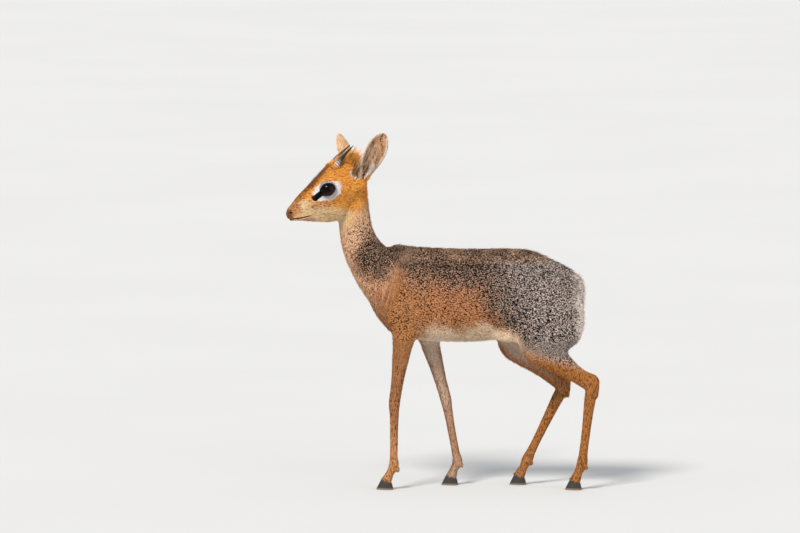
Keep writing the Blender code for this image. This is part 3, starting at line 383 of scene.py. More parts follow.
class Shader:
    """The nodes of one material."""

    def __init__(self, name):
        self.material = bpy.data.materials.new(name)
        self.material.use_nodes = True
        self.tree = self.material.node_tree
        self.tree.nodes.clear()

    def node(self, kind, settings=None, sockets=None):
        """Any node, from its type, its settings and the values or links of its sockets."""
        made = self.tree.nodes.new(kind)
        for name, value in (settings or {}).items():
            if name == "stops":
                self.fill_ramp(made.color_ramp, value)
            else:
                setattr(made, name, value)
        for key, value in (sockets or {}).items():
            if isinstance(value, Value):
                self.tree.links.new(value.socket, made.inputs[key])
            else:
                made.inputs[key].default_value = value
        return made

    def value(self, kind, settings=None, sockets=None, output=0):
        return Value(self, self.node(kind, settings, sockets).outputs[output])

    def fill_ramp(self, ramp, stops):
        for index, (place, colour) in enumerate(stops):
            element = ramp.elements[index] if index < 2 else ramp.elements.new(place)
            element.position = place
            element.color = colour

    def mix(self, share, first, second, blend="MIX"):
        settings = {"data_type": "RGBA", "blend_type": blend}
        return self.value("ShaderNodeMix", settings, {0: share, 6: first, 7: second}, output=2)

    def place(self):
        """Where a point is on the object, as a vector."""
        return self.value("ShaderNodeTexCoord", output=3)

    def split(self, vector):
        node = self.node("ShaderNodeSeparateXYZ", sockets={0: vector})
        return [Value(self, output) for output in node.outputs]

    def noise(self, vector, scale, detail=2.0, roughness=0.5):
        sockets = {"Vector": vector, "Scale": scale, "Detail": detail, "Roughness": roughness}
        return self.value("ShaderNodeTexNoise", None, sockets)

    def stretched(self, vector, factors):
        return self.value("ShaderNodeVectorMath", {"operation": "MULTIPLY"}, {0: vector, 1: factors})

    def dimmed(self, colour, share):
        """A colour made darker by a number at each point."""
        grey = self.value("ShaderNodeCombineXYZ", None, {0: share, 1: share, 2: share})
        return self.mix(1.0, colour, grey, "MULTIPLY")

    def attribute(self, name):
        """A number kept at each corner of the mesh."""
        return self.value("ShaderNodeAttribute", {"attribute_name": name}, output=2)

    def curve(self, value, pairs):
        """A number that follows straight stretches through pairs of a value and its level."""
        low, high = pairs[0][0], pairs[-1][0]
        stops = [((place - low) / (high - low), (level, level, level, 1.0)) for place, level in pairs]
        share = self.value("ShaderNodeMapRange", None, {0: value, 1: low, 2: high})
        return self.value("ShaderNodeValToRGB", {"stops": stops}, {0: share})

    def bump(self, height, strength, distance):
        sockets = {"Strength": strength, "Distance": distance, "Height": height}
        return self.value("ShaderNodeBump", None, sockets)

    def surface(self, **sockets):
        """The Principled shader, on the material's output."""
        named = {name.replace("_", " "): value for name, value in sockets.items()}
        made = self.node("ShaderNodeBsdfPrincipled", None, named)
        self.node("ShaderNodeOutputMaterial", None, {0: Value(self, made.outputs[0])})
        return self.material


def srgb(red, green, blue):
    """A colour given as 0 to 255 on a screen, as the shader takes it."""
    linear = []
    for part in (red, green, blue):
        share = part / 255
        linear.append(share / 12.92 if share <= 0.04045 else ((share + 0.055) / 1.055) ** 2.4)
    return (*linear, 1.0)


# The coat: its light hairs, its dark hairs, and the share of dark ones
Fur = namedtuple("Fur", "light dark share")


def fur(light, dark, share):
    """A kind of fur from its two screen colours."""
    return Fur(srgb(*light), srgb(*dark), share)


SHOULDER = fur((220, 152, 94), (48, 22, 10), 0.41)
FLANK = fur((226, 154, 104), (44, 20, 10), 0.42)
SADDLE = fur((208, 168, 142), (8, 5, 5), 0.62)
SPINE = fur((172, 138, 116), (8, 5, 4), 0.78)
WITHERS = fur((182, 148, 124), (12, 8, 8), 0.64)
HAUNCH = fur((250, 228, 214), (8, 4, 5), 0.60)
RUMP_EDGE = fur((255, 238, 226), (100, 78, 66), 0.24)
NECK = fur((255, 210, 168), (138, 80, 46), 0.42)
NAPE_BROWN = fur((244, 198, 156), (84, 48, 30), 0.35)
THROAT = fur((244, 198, 162), (184, 126, 92), 0.36)
CHEST = fur((226, 164, 122), (104, 58, 34), 0.38)
BELLY = fur((255, 228, 194), (194, 146, 108), 0.30)
INNER_LEG = fur((255, 242, 226), (226, 192, 164), 0.28)
FORELEG = fur((196, 134, 86), (104, 58, 34), 0.36)
HIND_LEG = fur((204, 134, 70), (118, 68, 34), 0.38)
ORANGE = fur((253, 178, 82), (200, 106, 34), 0.36)
CHEEK = fur((255, 228, 174), (220, 150, 92), 0.32)
JAW = fur((255, 222, 180), (214, 154, 108), 0.32)
BRIDGE = fur((196, 126, 54), (108, 60, 22), 0.42)
RIDGE = fur((176, 114, 78), (74, 38, 30), 0.50)
MUZZLE = fur((226, 162, 106), (146, 90, 54), 0.38)
NOSE_PAD = fur((172, 118, 78), (108, 70, 46), 0.42)
UPPER_LIP = fur((255, 210, 150), (232, 170, 116), 0.32)
CHIN = fur((246, 204, 170), (190, 142, 110), 0.34)
# Brown band under the white eye ring, partly the coat's own colour and partly painted shadow under the ring.
UNDER_RING_BROWN_AND_SHADOW = fur((232, 168, 108), (138, 76, 44), 0.40)
WHITE_RING = fur((255, 252, 250), (240, 230, 224), 0.22)
BLACK = fur((10, 8, 12), (4, 3, 5), 0.60)
# Dusky hair before the ears, dark partly by its own colour and partly as painted shade of the hollow there.
EAR_FRONT = fur((186, 146, 108), (88, 62, 42), 0.42)
RIM_WHITE = fur((252, 244, 236), (214, 196, 182), 0.35)
EAR_BACK = fur((238, 198, 152), (178, 132, 94), 0.40)
EAR_INSIDE = fur((206, 156, 114), (98, 62, 38), 0.46)
EAR_FRINGE = fur((236, 208, 180), (176, 136, 106), 0.40)
CREST = fur((255, 188, 92), (150, 86, 36), 0.30)

# The eye, in the head's own frame, and where its corners and gland are: back and up from its middle
EYE_MIDDLE = Vector((-0.1872, 0.0206, 0.4660))
EYE_OUT = Vector((-0.34, 0.93, 0.08)).normalized()
EYE_UP = (Vector((0, 0, 1)) - EYE_OUT * EYE_OUT.z).normalized()
EYE_BACK = EYE_OUT.cross(EYE_UP)
LID_SLOPE = radians(24)
LID_LONG = 0.0116
LID_HIGH = 0.0098
RING_SLOPE = radians(17)
RING_MIDDLE = (-0.0010, -0.0020)
RING_LONG = 0.0238
RING_HIGH = 0.0148
PUPIL_LONG = 0.0062
PUPIL_HIGH = 0.0048
PUPIL_SLOPE = radians(10)
GLAND = (-0.0198, -0.0132)
GLAND_LONG = 0.0044
GLAND_HIGH = 0.0050
GLAND_SLOPE = radians(60)
TEAR_START = (-0.0086, -0.0046)
TEAR_BLACK = 0.0040
TEAR_EDGE = 0.0049

# The mouth line from the front of the muzzle to its corner, as x and z in the head's own frame
MOUTH_FRONT = (-0.2425, 0.4200)
MOUTH_CORNER = (-0.2130, 0.4254)
NOSTRIL = Vector((-0.2440, 0.0068, 0.4300))


class Paint:
    """Furs laid over each other, each where its mask is 1."""

    def __init__(self, shader, first):
        self.shader = shader
        self.light, self.dark, self.share = first

    def over(self, mask, kind):
        self.light = self.shader.mix(mask, self.light, kind.light)
        self.dark = self.shader.mix(mask, self.dark, kind.dark)
        self.share = self.share + (kind.share - self.share) * mask

    def colour(self, speck):
        """The light hairs' colour or the dark ones', where the speck is under their share."""
        dark = (self.share - speck).step(-0.03, 0.03)
        return self.shader.mix(dark, self.light, self.dark)


def oval(across, up, middle, long, high, slope):
    """Squared distance from the middle of an oval that leans, 1 on its edge."""
    across, up = across - middle[0], up - middle[1]
    along = (across * cos(slope) + up * sin(slope)) / long
    over = (up * cos(slope) - across * sin(slope)) / high
    return along * along + over * over


def near_stroke(across, up, start, end):
    """Squared distance from a straight stroke."""
    run, rise = end[0] - start[0], end[1] - start[1]
    share = ((across - start[0]) * run + (up - start[1]) * rise) / (run * run + rise * rise)
    share = least(most(share, 0.0), 1.0)
    apart_across = across - start[0] - share * run
    apart_up = up - start[1] - share * rise
    return apart_across * apart_across + apart_up * apart_up


# The lower border of the dark saddle, as pairs of x and z
SADDLE_LINE = (
    (-0.110, 0.346), (-0.077, 0.341), (-0.039, 0.333), (0.000, 0.326), (0.057, 0.307), (0.076, 0.287),
    (0.099, 0.262), (0.114, 0.240), (0.130, 0.205), (0.170, 0.196), (0.240, 0.200),
)


def body_paint(shader, position):
    """The markings of the whole coat."""
    x, y, z = shader.split(position)
    patchy = shader.noise(position, 30.0, 3.0) - 0.5
    fine = shader.noise(position, 150.0, 2.0) - 0.5
    paint = Paint(shader, SHOULDER)
    ribs = oval(x, z, (0.022, 0.292), 0.085, 0.040, -0.10) + 2.5 * patchy
    paint.over(ribs.step(1.9, 0.0) * 0.85, FLANK)
    throat = (x + 0.42 * (z - 0.40) + 0.02 * patchy).step(-0.146, -0.166) * z.step(0.27, 0.32)
    neck = (neck_line(x, z) + 0.02 * patchy).step(-0.082, -0.112)
    neck = most(neck * z.step(0.29, 0.36), z.step(0.385, 0.405))
    chest = (neck_line(x, z) + 0.02 * patchy).step(-0.072, -0.102) * z.step(0.235, 0.265)
    paint.over(chest, CHEST)
    paint.over(neck, NECK)
    paint.over(throat * 0.75, THROAT)
    belly = (z + 0.05 * patchy).step(0.266, 0.242) * x.step(-0.050, -0.010)
    paint.over(belly, BELLY)
    above = z - shader.curve(x, SADDLE_LINE) + 0.07 * patchy + 0.03 * fine
    saddle = above.step(-0.034, 0.034) * (x + 0.5 * (z - 0.36)).step(-0.092, -0.070)
    paint.over(saddle, SADDLE)
    paint.over(saddle * z.step(0.335, 0.368), SPINE)
    haunch = (x + 0.35 * (z - 0.30) + 0.06 * patchy).step(0.060, 0.150)
    paint.over(saddle * haunch, HAUNCH)
    withers = oval(x, z, (-0.108, 0.352), 0.030, 0.026, radians(-40)).step(1.9, 0.2)
    ridge = (x + 0.118 - 0.20 * (0.40 - z)).step(-0.022, 0.004)
    ridge = ridge * z.step(0.345, 0.365) * z.step(0.470, 0.425)
    paint.over(ridge * 0.9, NAPE_BROWN)
    paint.over(least((withers + 0.8 * ridge * z.step(0.420, 0.375)) * (0.9 + 2.0 * patchy), 0.9), WITHERS)
    edge = (x + 0.03 * patchy).step(0.196, 0.212) * z.step(0.205, 0.240)
    paint.over(edge * 0.85, RUMP_EDGE)
    fore = z.step(0.232, 0.205) * x.step(0.080, 0.060)
    paint.over(fore, FORELEG)
    hind = (z + 0.25 * (x - 0.20)).step(0.206, 0.184) * x.step(0.060, 0.080)
    paint.over(hind, HIND_LEG)
    inside = abs(y - MIDLINE).step(0.030, 0.016) * z.step(0.250, 0.215)
    paint.over(inside * 0.8, INNER_LEG)
    face_paint(shader, paint, position, patchy, fine)
    return paint


def face_paint(shader, paint, position, patchy, fine):
    """The head's markings, in its own frame."""
    x, y, z = shader.split(position)
    ahead, aside = x - NAPE.x, y - MIDLINE
    front = NAPE.x - HEAD_SHIFT + ahead * cos(HEAD_TURN) + aside * sin(HEAD_TURN)
    side = abs(aside * cos(HEAD_TURN) - ahead * sin(HEAD_TURN))
    head = (head_line(x, z) + 0.012 * patchy).step(0.390, 0.412)
    paint.over(head, ORANGE)
    from_eye = front - EYE_MIDDLE.x, side - EYE_MIDDLE.y, z - EYE_MIDDLE.z
    back, up, out = [
        from_eye[0] * way.x + from_eye[1] * way.y + from_eye[2] * way.z
        for way in (EYE_BACK, EYE_UP, EYE_OUT)
    ]
    facing = out.step(-0.004, 0.003)
    cheek = (z + 0.30 * (front + 0.19) + 0.02 * patchy).step(0.452, 0.432)
    paint.over(head * cheek, CHEEK)
    jaw = (z + 0.10 * (front + 0.21) + 0.01 * patchy).step(0.4215, 0.4165)
    paint.over(head * jaw, JAW)
    bridge = side.step(0.0125, 0.0060) * front.step(-0.182, -0.196) * z.step(0.437, 0.446)
    paint.over(bridge, BRIDGE)
    ridge = side.step(0.0130, 0.0060) * front.step(-0.174, -0.184) * front.step(-0.222, -0.208)
    paint.over(ridge * z.step(0.462, 0.474) * (0.7 + 1.6 * patchy), RIDGE)
    muzzle = (front + 0.4 * (z - 0.435)).step(-0.222, -0.234)
    paint.over(muzzle, MUZZLE)
    above_lip = z - mouth_height(front)
    lip = above_lip.step(0.0105, 0.0040) * front.step(-0.206, -0.216) * front.step(-0.242, -0.236)
    paint.over(lip, UPPER_LIP)
    under_lip = above_lip.step(0.0, -0.0012) * front.step(-0.200, -0.212)
    paint.over(under_lip, CHIN)
    # The brown band under the ring: partly its own colour, partly painted shadow.
    under = oval(back, up, (-0.0060, -0.0235), 0.0230, 0.0058, radians(6)).step(1.8, 0.4) * facing
    paint.over(under * (0.75 + 1.5 * fine), UNDER_RING_BROWN_AND_SHADOW)
    ring = oval(back, up, RING_MIDDLE, RING_LONG, RING_HIGH, RING_SLOPE) + 1.2 * fine
    paint.over(ring.step(1.15, 0.85) * facing, WHITE_RING)
    lids = oval(back, up, (0.0, 0.0), LID_LONG + 0.0010, LID_HIGH + 0.0004, LID_SLOPE).step(1.12, 0.95)
    gland = oval(back, up, GLAND, GLAND_LONG, GLAND_HIGH, GLAND_SLOPE).step(1.25, 0.85)
    tear = near_stroke(back, up, TEAR_START, GLAND).step(TEAR_EDGE**2, TEAR_BLACK**2)
    paint.over(most(most(lids, gland), tear) * facing, BLACK)
    pad = front.step(-0.2395, -0.2430) * z.step(0.4200, 0.4230) * z.step(0.4370, 0.4335)
    paint.over(pad * (0.85 + 1.2 * fine), NOSE_PAD)
    # Painted shade: the slit between the lips and the nostril openings are painted black for the dark inside
    # them.
    mouth = (above_lip * above_lip).step(0.0010**2, 0.0005**2) * front.step(-0.2112, -0.2140)
    slit = (front - NOSTRIL.x) / 0.0040, (side - NOSTRIL.y) / 0.0030, (z - NOSTRIL.z) / 0.0014
    nostril_shade = (slit[0] * slit[0] + slit[1] * slit[1] + slit[2] * slit[2]).step(0.9, 0.4)
    paint.over(most(mouth, nostril_shade), BLACK)


def mouth_height(front):
    """The mouth line's height at a place along the muzzle, a number, an array or a shader value."""
    slope = (MOUTH_CORNER[1] - MOUTH_FRONT[1]) / (MOUTH_CORNER[0] - MOUTH_FRONT[0])
    return MOUTH_FRONT[1] + (front - MOUTH_FRONT[0]) * slope


# How many specks, and streaks of short hair, are in a metre
SPECK_SCALE = 650.0
STREAK_SCALE = 680.0


def along_hair(shader, position, long, wide):
    """The position shrunk along the way that the hair lies, so that what is drawn on it comes out long."""
    x, _, z = shader.split(position)
    face = head_line(x, z).step(0.390, 0.412)
    upright = most(neck_line(x, z).step(-0.070, -0.100), z.step(0.235, 0.205)) * (1.0 - face)
    stretch = shader.mix(upright, (long, wide, wide, 1.0), (wide, wide, long, 1.0))
    return shader.stretched(position, stretch)


def specks(shader, position):
    """An even grizzle of small spots, from 0 to 1."""
    sockets = {"Vector": along_hair(shader, position, 0.60, 0.95), "Scale": SPECK_SCALE}
    apart, cells = [
        shader.value("ShaderNodeTexVoronoi", {"feature": "F1"}, sockets, output=output) for output in (0, 1)
    ]
    return apart.step(0.80, 0.22) * 0.65 + shader.split(cells)[0] * 0.35


def grizzle(shader, position, own):
    """The specks, and where the coat is short streaks with each hair's own tone, from 0 to 1."""
    x, _, z = shader.split(position)
    short = most(head_line(x, z).step(0.385, 0.410), z.step(0.215, 0.180))
    streaks = shader.noise(along_hair(shader, position, 0.28, 1.0), STREAK_SCALE, 2.0).step(0.36, 0.64)
    even = specks(shader, position)
    return even + (own * 0.4 + streaks * 0.6 - even) * (0.20 + 0.70 * short)


def coat_material():
    """The tufts' finish: the markings, with painted shade darkening them toward the roots, and a soft shine.
    """
    shader = Shader("coat")
    position = shader.place()
    paint = body_paint(shader, position)
    return tuft_surface(shader, paint.colour(grizzle(shader, position, shader.attribute("speck"))))


def tuft_surface(shader, colour, root=0.52):
    """Finishes a tuft's colour with painted shade that darkens it toward its root, and its own brightness."""
    # Painted shade: each tuft darkens from its tip to the share root of its colour at its root, for the shade
    # deep in the coat.
    depth = (root + (1 - root) * shader.attribute("along")) * (0.84 + 0.32 * shader.attribute("shade"))
    return shader.surface(Base_Color=shader.dimmed(colour, depth), Roughness=0.60, Specular_IOR_Level=0.10)


def plain_fur_material(name, kind, root=0.52):
    """Tufts of one fur, for the crest, the lashes and the ears, with painted shade toward their roots."""
    shader = Shader(name)
    streak = shader.noise(shader.place(), 500.0, 1.0)
    colour = Paint(shader, kind).colour(shader.attribute("speck") * 0.8 + streak * 0.2)
    return tuft_surface(shader, colour, root)


def skin_material():
    """The skin under the coat, with the coat's markings, a grain of fine hair, and painted shade where the
    coat covers it.
    """
    shader = Shader("skin")
    position = shader.place()
    grain = shader.noise(shader.stretched(position, (0.35, 1.0, 1.0)), 1500.0, 3.0, 0.6)
    paint = body_paint(shader, position)
    paint.over(shader.attribute("ear_inside"), EAR_INSIDE)
    paint.over(shader.attribute("ear_back"), EAR_BACK)
    colour = paint.colour(grizzle(shader, position, grain))
    # Painted shade under the coat: the skin is dimmed to half, except where it is bare on the ears.
    colour = shader.dimmed(colour, 0.50 + 0.5 * shader.attribute("bare"))
    normal = shader.bump(grain, 0.5, 0.0005)
    return shader.surface(Base_Color=colour, Roughness=0.75, Specular_IOR_Level=0.08, Normal=normal)


def eye_material(painted_iris_glow):
    """A wet dark eye: a long pupil in a dark iris with painted light low at the back."""
    shader = Shader("eye")
    back, up = shader.attribute("back"), shader.attribute("up")
    position = shader.place()
    fibre = shader.noise(position, 700.0, 3.0)
    pupil = oval(back, up, (0.0, 0.0), PUPIL_LONG, PUPIL_HIGH, PUPIL_SLOPE) + 0.25 * (fibre - 0.5)
    # Painted light: the iris shows its lit colour only low at the back, as a painted glint.
    lit = (back - up).step(-0.006, 0.012) * (0.5 + fibre)
    iris = shader.mix(least(lit, 1.0), (0.0016, 0.0009, 0.0010, 1), tuple(painted_iris_glow))
    colour = shader.mix(pupil.step(0.85, 1.25), (0.0006, 0.0006, 0.0009, 1), iris)
    limbus = oval(back, up, (0.0, 0.0), 0.0098, 0.0086, radians(20)).step(0.80, 1.15)
    colour = shader.mix(limbus, colour, (0.0015, 0.0010, 0.0010, 1))
    return shader.surface(
        Base_Color=colour, Roughness=0.06, Specular_IOR_Level=0.08, Coat_Weight=0.03, Coat_Roughness=0.02
    )


def lid_material():
    """Bare black skin, a little wet."""
    shader = Shader("lids")
    position = shader.place()
    pores = shader.noise(position, 900.0, 3.0)
    colour = shader.mix(pores, srgb(14, 11, 13), srgb(40, 31, 33))
    normal = shader.bump(pores, 0.35, 0.0003)
    return shader.surface(Base_Color=colour, Roughness=0.42, Specular_IOR_Level=0.4, Normal=normal)


def horn_material(tip_colour):
    """Grey horn with pale worn rings below and a black polished tip."""
    shader = Shader("horn")
    along, ring = shader.attribute("along"), shader.attribute("ring")
    position = shader.place()
    fibre = shader.noise(position, 1100.0, 3.0, 0.6)
    streak = shader.noise(position, 260.0, 2.0)
    colour = shader.mix(streak, srgb(54, 50, 56), srgb(104, 98, 102))
    colour = shader.mix(ring * along.step(0.42, 0.10) * (0.5 + fibre), colour, srgb(226, 214, 206))
    colour = shader.mix((along + 0.25 * (streak - 0.5)).step(0.26, 0.50), colour, tuple(tip_colour))
    height = ring * 0.4 + fibre * 0.6
    normal = shader.bump(height, 0.6, 0.0004)
    rough = 0.50 - 0.18 * along + 0.15 * (fibre - 0.5)
    return shader.surface(Base_Color=colour, Roughness=rough, Specular_IOR_Level=0.35, Normal=normal)


def hoof_material():
    """Dark hoof horn with growth rings and a dusty edge below."""
    shader = Shader("hoof")
    position = shader.place()
    _, _, z = shader.split(position)
    wobble = shader.noise(position, 120.0, 2.0)
    bands = (z * 2600.0 + wobble * 16.0).sine() * 0.5 + 0.5
    grain = shader.noise(position, 1500.0, 3.0, 0.6)
    colour = shader.mix(bands * 0.25 + grain * 0.4, srgb(30, 26, 26), srgb(70, 60, 55))
    colour = shader.mix(z.step(0.004, 0.0005) * (0.3 + grain), colour, srgb(148, 128, 106))
    normal = shader.bump(bands * 0.5 + grain * 0.5, 0.4, 0.0003)
    rough = 0.45 + 0.2 * grain
    return shader.surface(Base_Color=colour, Roughness=rough, Specular_IOR_Level=0.4, Normal=normal)


def edges_of(triangles):
    pairs = np.concatenate([triangles[:, [0, 1]], triangles[:, [1, 2]], triangles[:, [2, 0]]])
    return np.unique(np.sort(pairs, axis=1), axis=0)


def average_near(values, edges, counts):
    """Each vertex's neighbours' mean."""
    total = np.empty_like(values)
    for axis in range(values.shape[1]):
        total[:, axis] = np.bincount(edges[:, 0], values[edges[:, 1], axis], len(values))
        total[:, axis] += np.bincount(edges[:, 1], values[edges[:, 0], axis], len(values))
    return total / counts[:, None]


def relax(points, edges, amount, rounds):
    """Smooths a surface without shrinking it, by an amount of 0 to 1 at each point."""
    counts = np.bincount(edges.ravel(), minlength=len(points)).astype(float)
    for _ in range(rounds):
        for push in (0.50, -0.52):
            points = points + (average_near(points, edges, counts) - points) * (push * amount)[:, None]
    return points


def normals_of(points, triangles):
    corners = points[triangles]
    across = np.cross(corners[:, 1] - corners[:, 0], corners[:, 2] - corners[:, 0])
    total = np.zeros_like(points)
    for axis in range(3):
        for corner in range(3):
            total[:, axis] += np.bincount(triangles[:, corner], across[:, axis], len(points))
    return unit(total)


def surface_of(obj):
    """An object's points, triangles and normals."""
    points, triangles = points_of(obj), triangles_of(obj)
    return points, triangles, normals_of(points, triangles)


def crest_cutter():
    """A block over the skull's top line, which takes the solids' crest off the head."""
    profile = [*SKULL_TOP, (SKULL_TOP[-1][0], 0.560), (SKULL_TOP[0][0], 0.560)]
    shape = bmesh.new()
    rows = [[shape.verts.new(from_head(x, side * CREST_REACH, z)) for x, z in profile] for side in (-1, 1)]
    shape.faces.new(rows[0])
    shape.faces.new(reversed(rows[1]))
    for index in range(len(profile)):
        after = (index + 1) % len(profile)
        shape.faces.new((rows[0][after], rows[0][index], rows[1][index], rows[1][after]))
    bmesh.ops.recalc_face_normals(shape, faces=shape.faces)
    return object_of("crest_cutter", shape)


def bare_head():
    """The head's flesh without the crest."""
    head = copy_node("head", NODE_GAP)
    cutter = crest_cutter()
    apply_modifier(head, "BOOLEAN", operation="DIFFERENCE", object=cutter, solver="MANIFOLD")
    bpy.data.objects.remove(cutter, do_unlink=True)
    return head


def softness(points):
    """How much the skin is smoothed at each point: least on the face, the ears and the feet."""
    head = to_head(points)
    face = smooth_step(head[:, 0], -0.160, -0.185) * smooth_step(points[:, 2], 0.395, 0.41)
    ears = smooth_step(points[:, 2], 0.470, 0.490) * smooth_step(points[:, 0], -0.172, -0.160)
    legs = smooth_step(points[:, 2], 0.210, 0.190)
    return np.clip(1.0 - 0.9 * face - 0.8 * ears - 0.7 * legs, 0.06, 1.0)


def make_skin():
    """One closed skin over the whole body, a coat's depth inside the solids."""
    pieces = [bare_head()] + [copy_node(name, NODE_GAP) for name in FLESH if name != "head"]
    skin = join_objects("skin", pieces)
    apply_modifier(skin, "REMESH", mode="VOXEL", voxel_size=SKIN_GRID, adaptivity=0.0)
    points, triangles = points_of(skin), triangles_of(skin)
    edges = edges_of(triangles)
    points = relax(points, edges, softness(points), SKIN_ROUNDS)
    points = relax(points, edges, np.full(len(points), 0.7), 2)
    normals = normals_of(points, triangles)
    _, length, _, _ = coat_at(points)
    ears = in_ears(points)
    depth = COAT_DEPTH * length * (1 - ears) + EAR_DEPTH * ears + NODE_GAP
    points = points - normals * depth[:, None]
    move_points(skin, points)
    keep = skin.vertex_groups.new(name="coarse")
    fine = smooth_step(points[:, 2], 0.395, 0.415)
    for level in (0.0, 0.5, 1.0):
        chosen = np.nonzero(np.abs((1 - fine) - level) <= 0.25)[0]
        keep.add(chosen.tolist(), level, "REPLACE")
    ratio = min(1.0, SKIN_TRIANGLES / len(triangles))
    apply_modifier(skin, "DECIMATE", ratio=ratio, vertex_group="coarse", vertex_group_factor=2.0)
    skin.vertex_groups.clear()
    refine(skin, near_mouth)
    refine(skin, near_mouth)
    carve_face(skin)
    mark_skin(skin)
    return skin


def near_mouth(points):
    """Where the mouth and the nostrils are cut."""
    head = to_head(points)
    above = head[:, 2] - mouth_height(head[:, 0])
    mouth = (head[:, 0] < -0.209) & (np.abs(above) < 0.0045)
    nose = (head[:, 0] < -0.2385) & (np.abs(head[:, 2] - NOSTRIL.z) < 0.0045)
    return mouth | nose


def refine(obj, region):
    """Splits each edge of the faces in a region in two."""
    shape = bmesh.new()
    shape.from_mesh(obj.data)
    bmesh.ops.triangulate(shape, faces=shape.faces)
    chosen = region(np.array([vertex.co for vertex in shape.verts]))
    edges = [edge for edge in shape.edges if chosen[edge.verts[0].index] or chosen[edge.verts[1].index]]
    bmesh.ops.subdivide_edges(shape, edges=edges, cuts=1, smooth=0.4)
    bmesh.ops.triangulate(shape, faces=[face for face in shape.faces if len(face.verts) > 3])
    shape.to_mesh(obj.data)
    shape.free()


def carve_face(skin):
    """Cuts the mouth between its lips, and the nostrils with their raised wings."""
    points, _, normals = surface_of(skin)
    head = to_head(points)
    above = head[:, 2] - mouth_height(head[:, 0])
    reach = smooth_step(head[:, 0], -0.2105, -0.2150) * smooth_step(head[:, 2], 0.408, 0.412)
    groove = np.exp(-((above / 0.00065) ** 2))
    lips = np.exp(-(((np.abs(above) - 0.0019) / 0.0010) ** 2))
    move = reach * (0.0005 * lips - 0.0019 * groove)
    side = np.abs(head[:, 1])
    slit = ((head[:, 0] - NOSTRIL.x) / 0.0040) ** 2 + ((side - NOSTRIL.y) / 0.0030) ** 2
    slit += ((head[:, 2] - NOSTRIL.z - 0.25 * (side - NOSTRIL.y)) / 0.0015) ** 2
    move += -0.0020 * np.exp(-(slit**1.5)) + 0.0006 * np.exp(-((np.sqrt(slit) - 1.7) ** 2) / 0.2)
    move_points(skin, points + normals * move[:, None])


def mark_skin(skin):
    """Keeps on the skin where an ear's two sides are, and where it is bare and so left out of the painted
    shade under the coat.
    """
    points = points_of(skin)
    inside, back = np.zeros(len(points)), np.zeros(len(points))
    for side in EARS:
        ear = EarFrame(side)
        share, apart = ear.measure(points)
        radius, _ = ear.row(share)
        near = smooth_step(share, 0.02, 0.10) * (share < 1.1) * (apart < radius + 0.004)
        near *= smooth_step(points[:, 2], 0.484, 0.490)
        within = smooth_step(apart - radius + EAR_THICK * 0.6, 0.0003, -0.0003)
        inside = np.maximum(inside, near * within)
        back = np.maximum(back, near * (1 - within))
    for label, values in (("ear_inside", inside), ("ear_back", back), ("bare", np.maximum(inside, back))):
        keep_values(skin.data, label, values)


def keep_values(mesh, label, values):
    """Keeps a number at each point of a mesh for its material."""
    layer = mesh.attributes.new(label, "FLOAT", "POINT")
    layer.data.foreach_set("value", np.asarray(values, np.float32))


def in_ears(points):
    """1 on the ears, 0 elsewhere, from the boxes of their nodes."""
    found = np.zeros(len(points))
    for side in EARS:
        low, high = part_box(f"ear_{side}")
        inside = smooth_step(points[:, 2], low.z + 0.004, low.z + 0.012)
        inside *= (points[:, 0] > low.x - 0.002) & (points[:, 0] < high.x + 0.002)
        inside *= (points[:, 1] > low.y - 0.002) & (points[:, 1] < high.y + 0.002)
        found = np.maximum(found, inside)
    return found


# The ears: the way that each points and the way that its cup opens, and its rows from base to tip
EARS = {
    "left": (Vector((0.41, -0.10, 0.89)), Vector((-0.14, -0.99, 0.0))),
    "right": (Vector((-0.37, 0.59, 0.77)), Vector((-0.76, 0.65, 0.0))),
}
EAR_ROOT = Vector((-0.1325, 0.0275, 0.4830))
EAR_LENGTH = 0.0745
EAR_THICK = 0.0018
EAR_HALF_WIDTHS = (0.0078, 0.0092, 0.0114, 0.0136, 0.0153, 0.0161, 0.0160, 0.0142, 0.0102, 0.0026)
EAR_ROLLS = (160, 138, 112, 94, 80, 72, 66, 60, 52, 40)
EAR_LEAN = 0.010
# The cup's dark folds cross it at a slant: where the first is, how far apart they are, how they rise
EAR_FOLD_START = 0.17
EAR_FOLD_STEP = 0.32
EAR_FOLD_SLOPE = 0.34
EAR_FRONT_ROOT = Vector((-0.1430, 0.0245, 0.4910))
EAR_FRONT_REACH = 0.0078


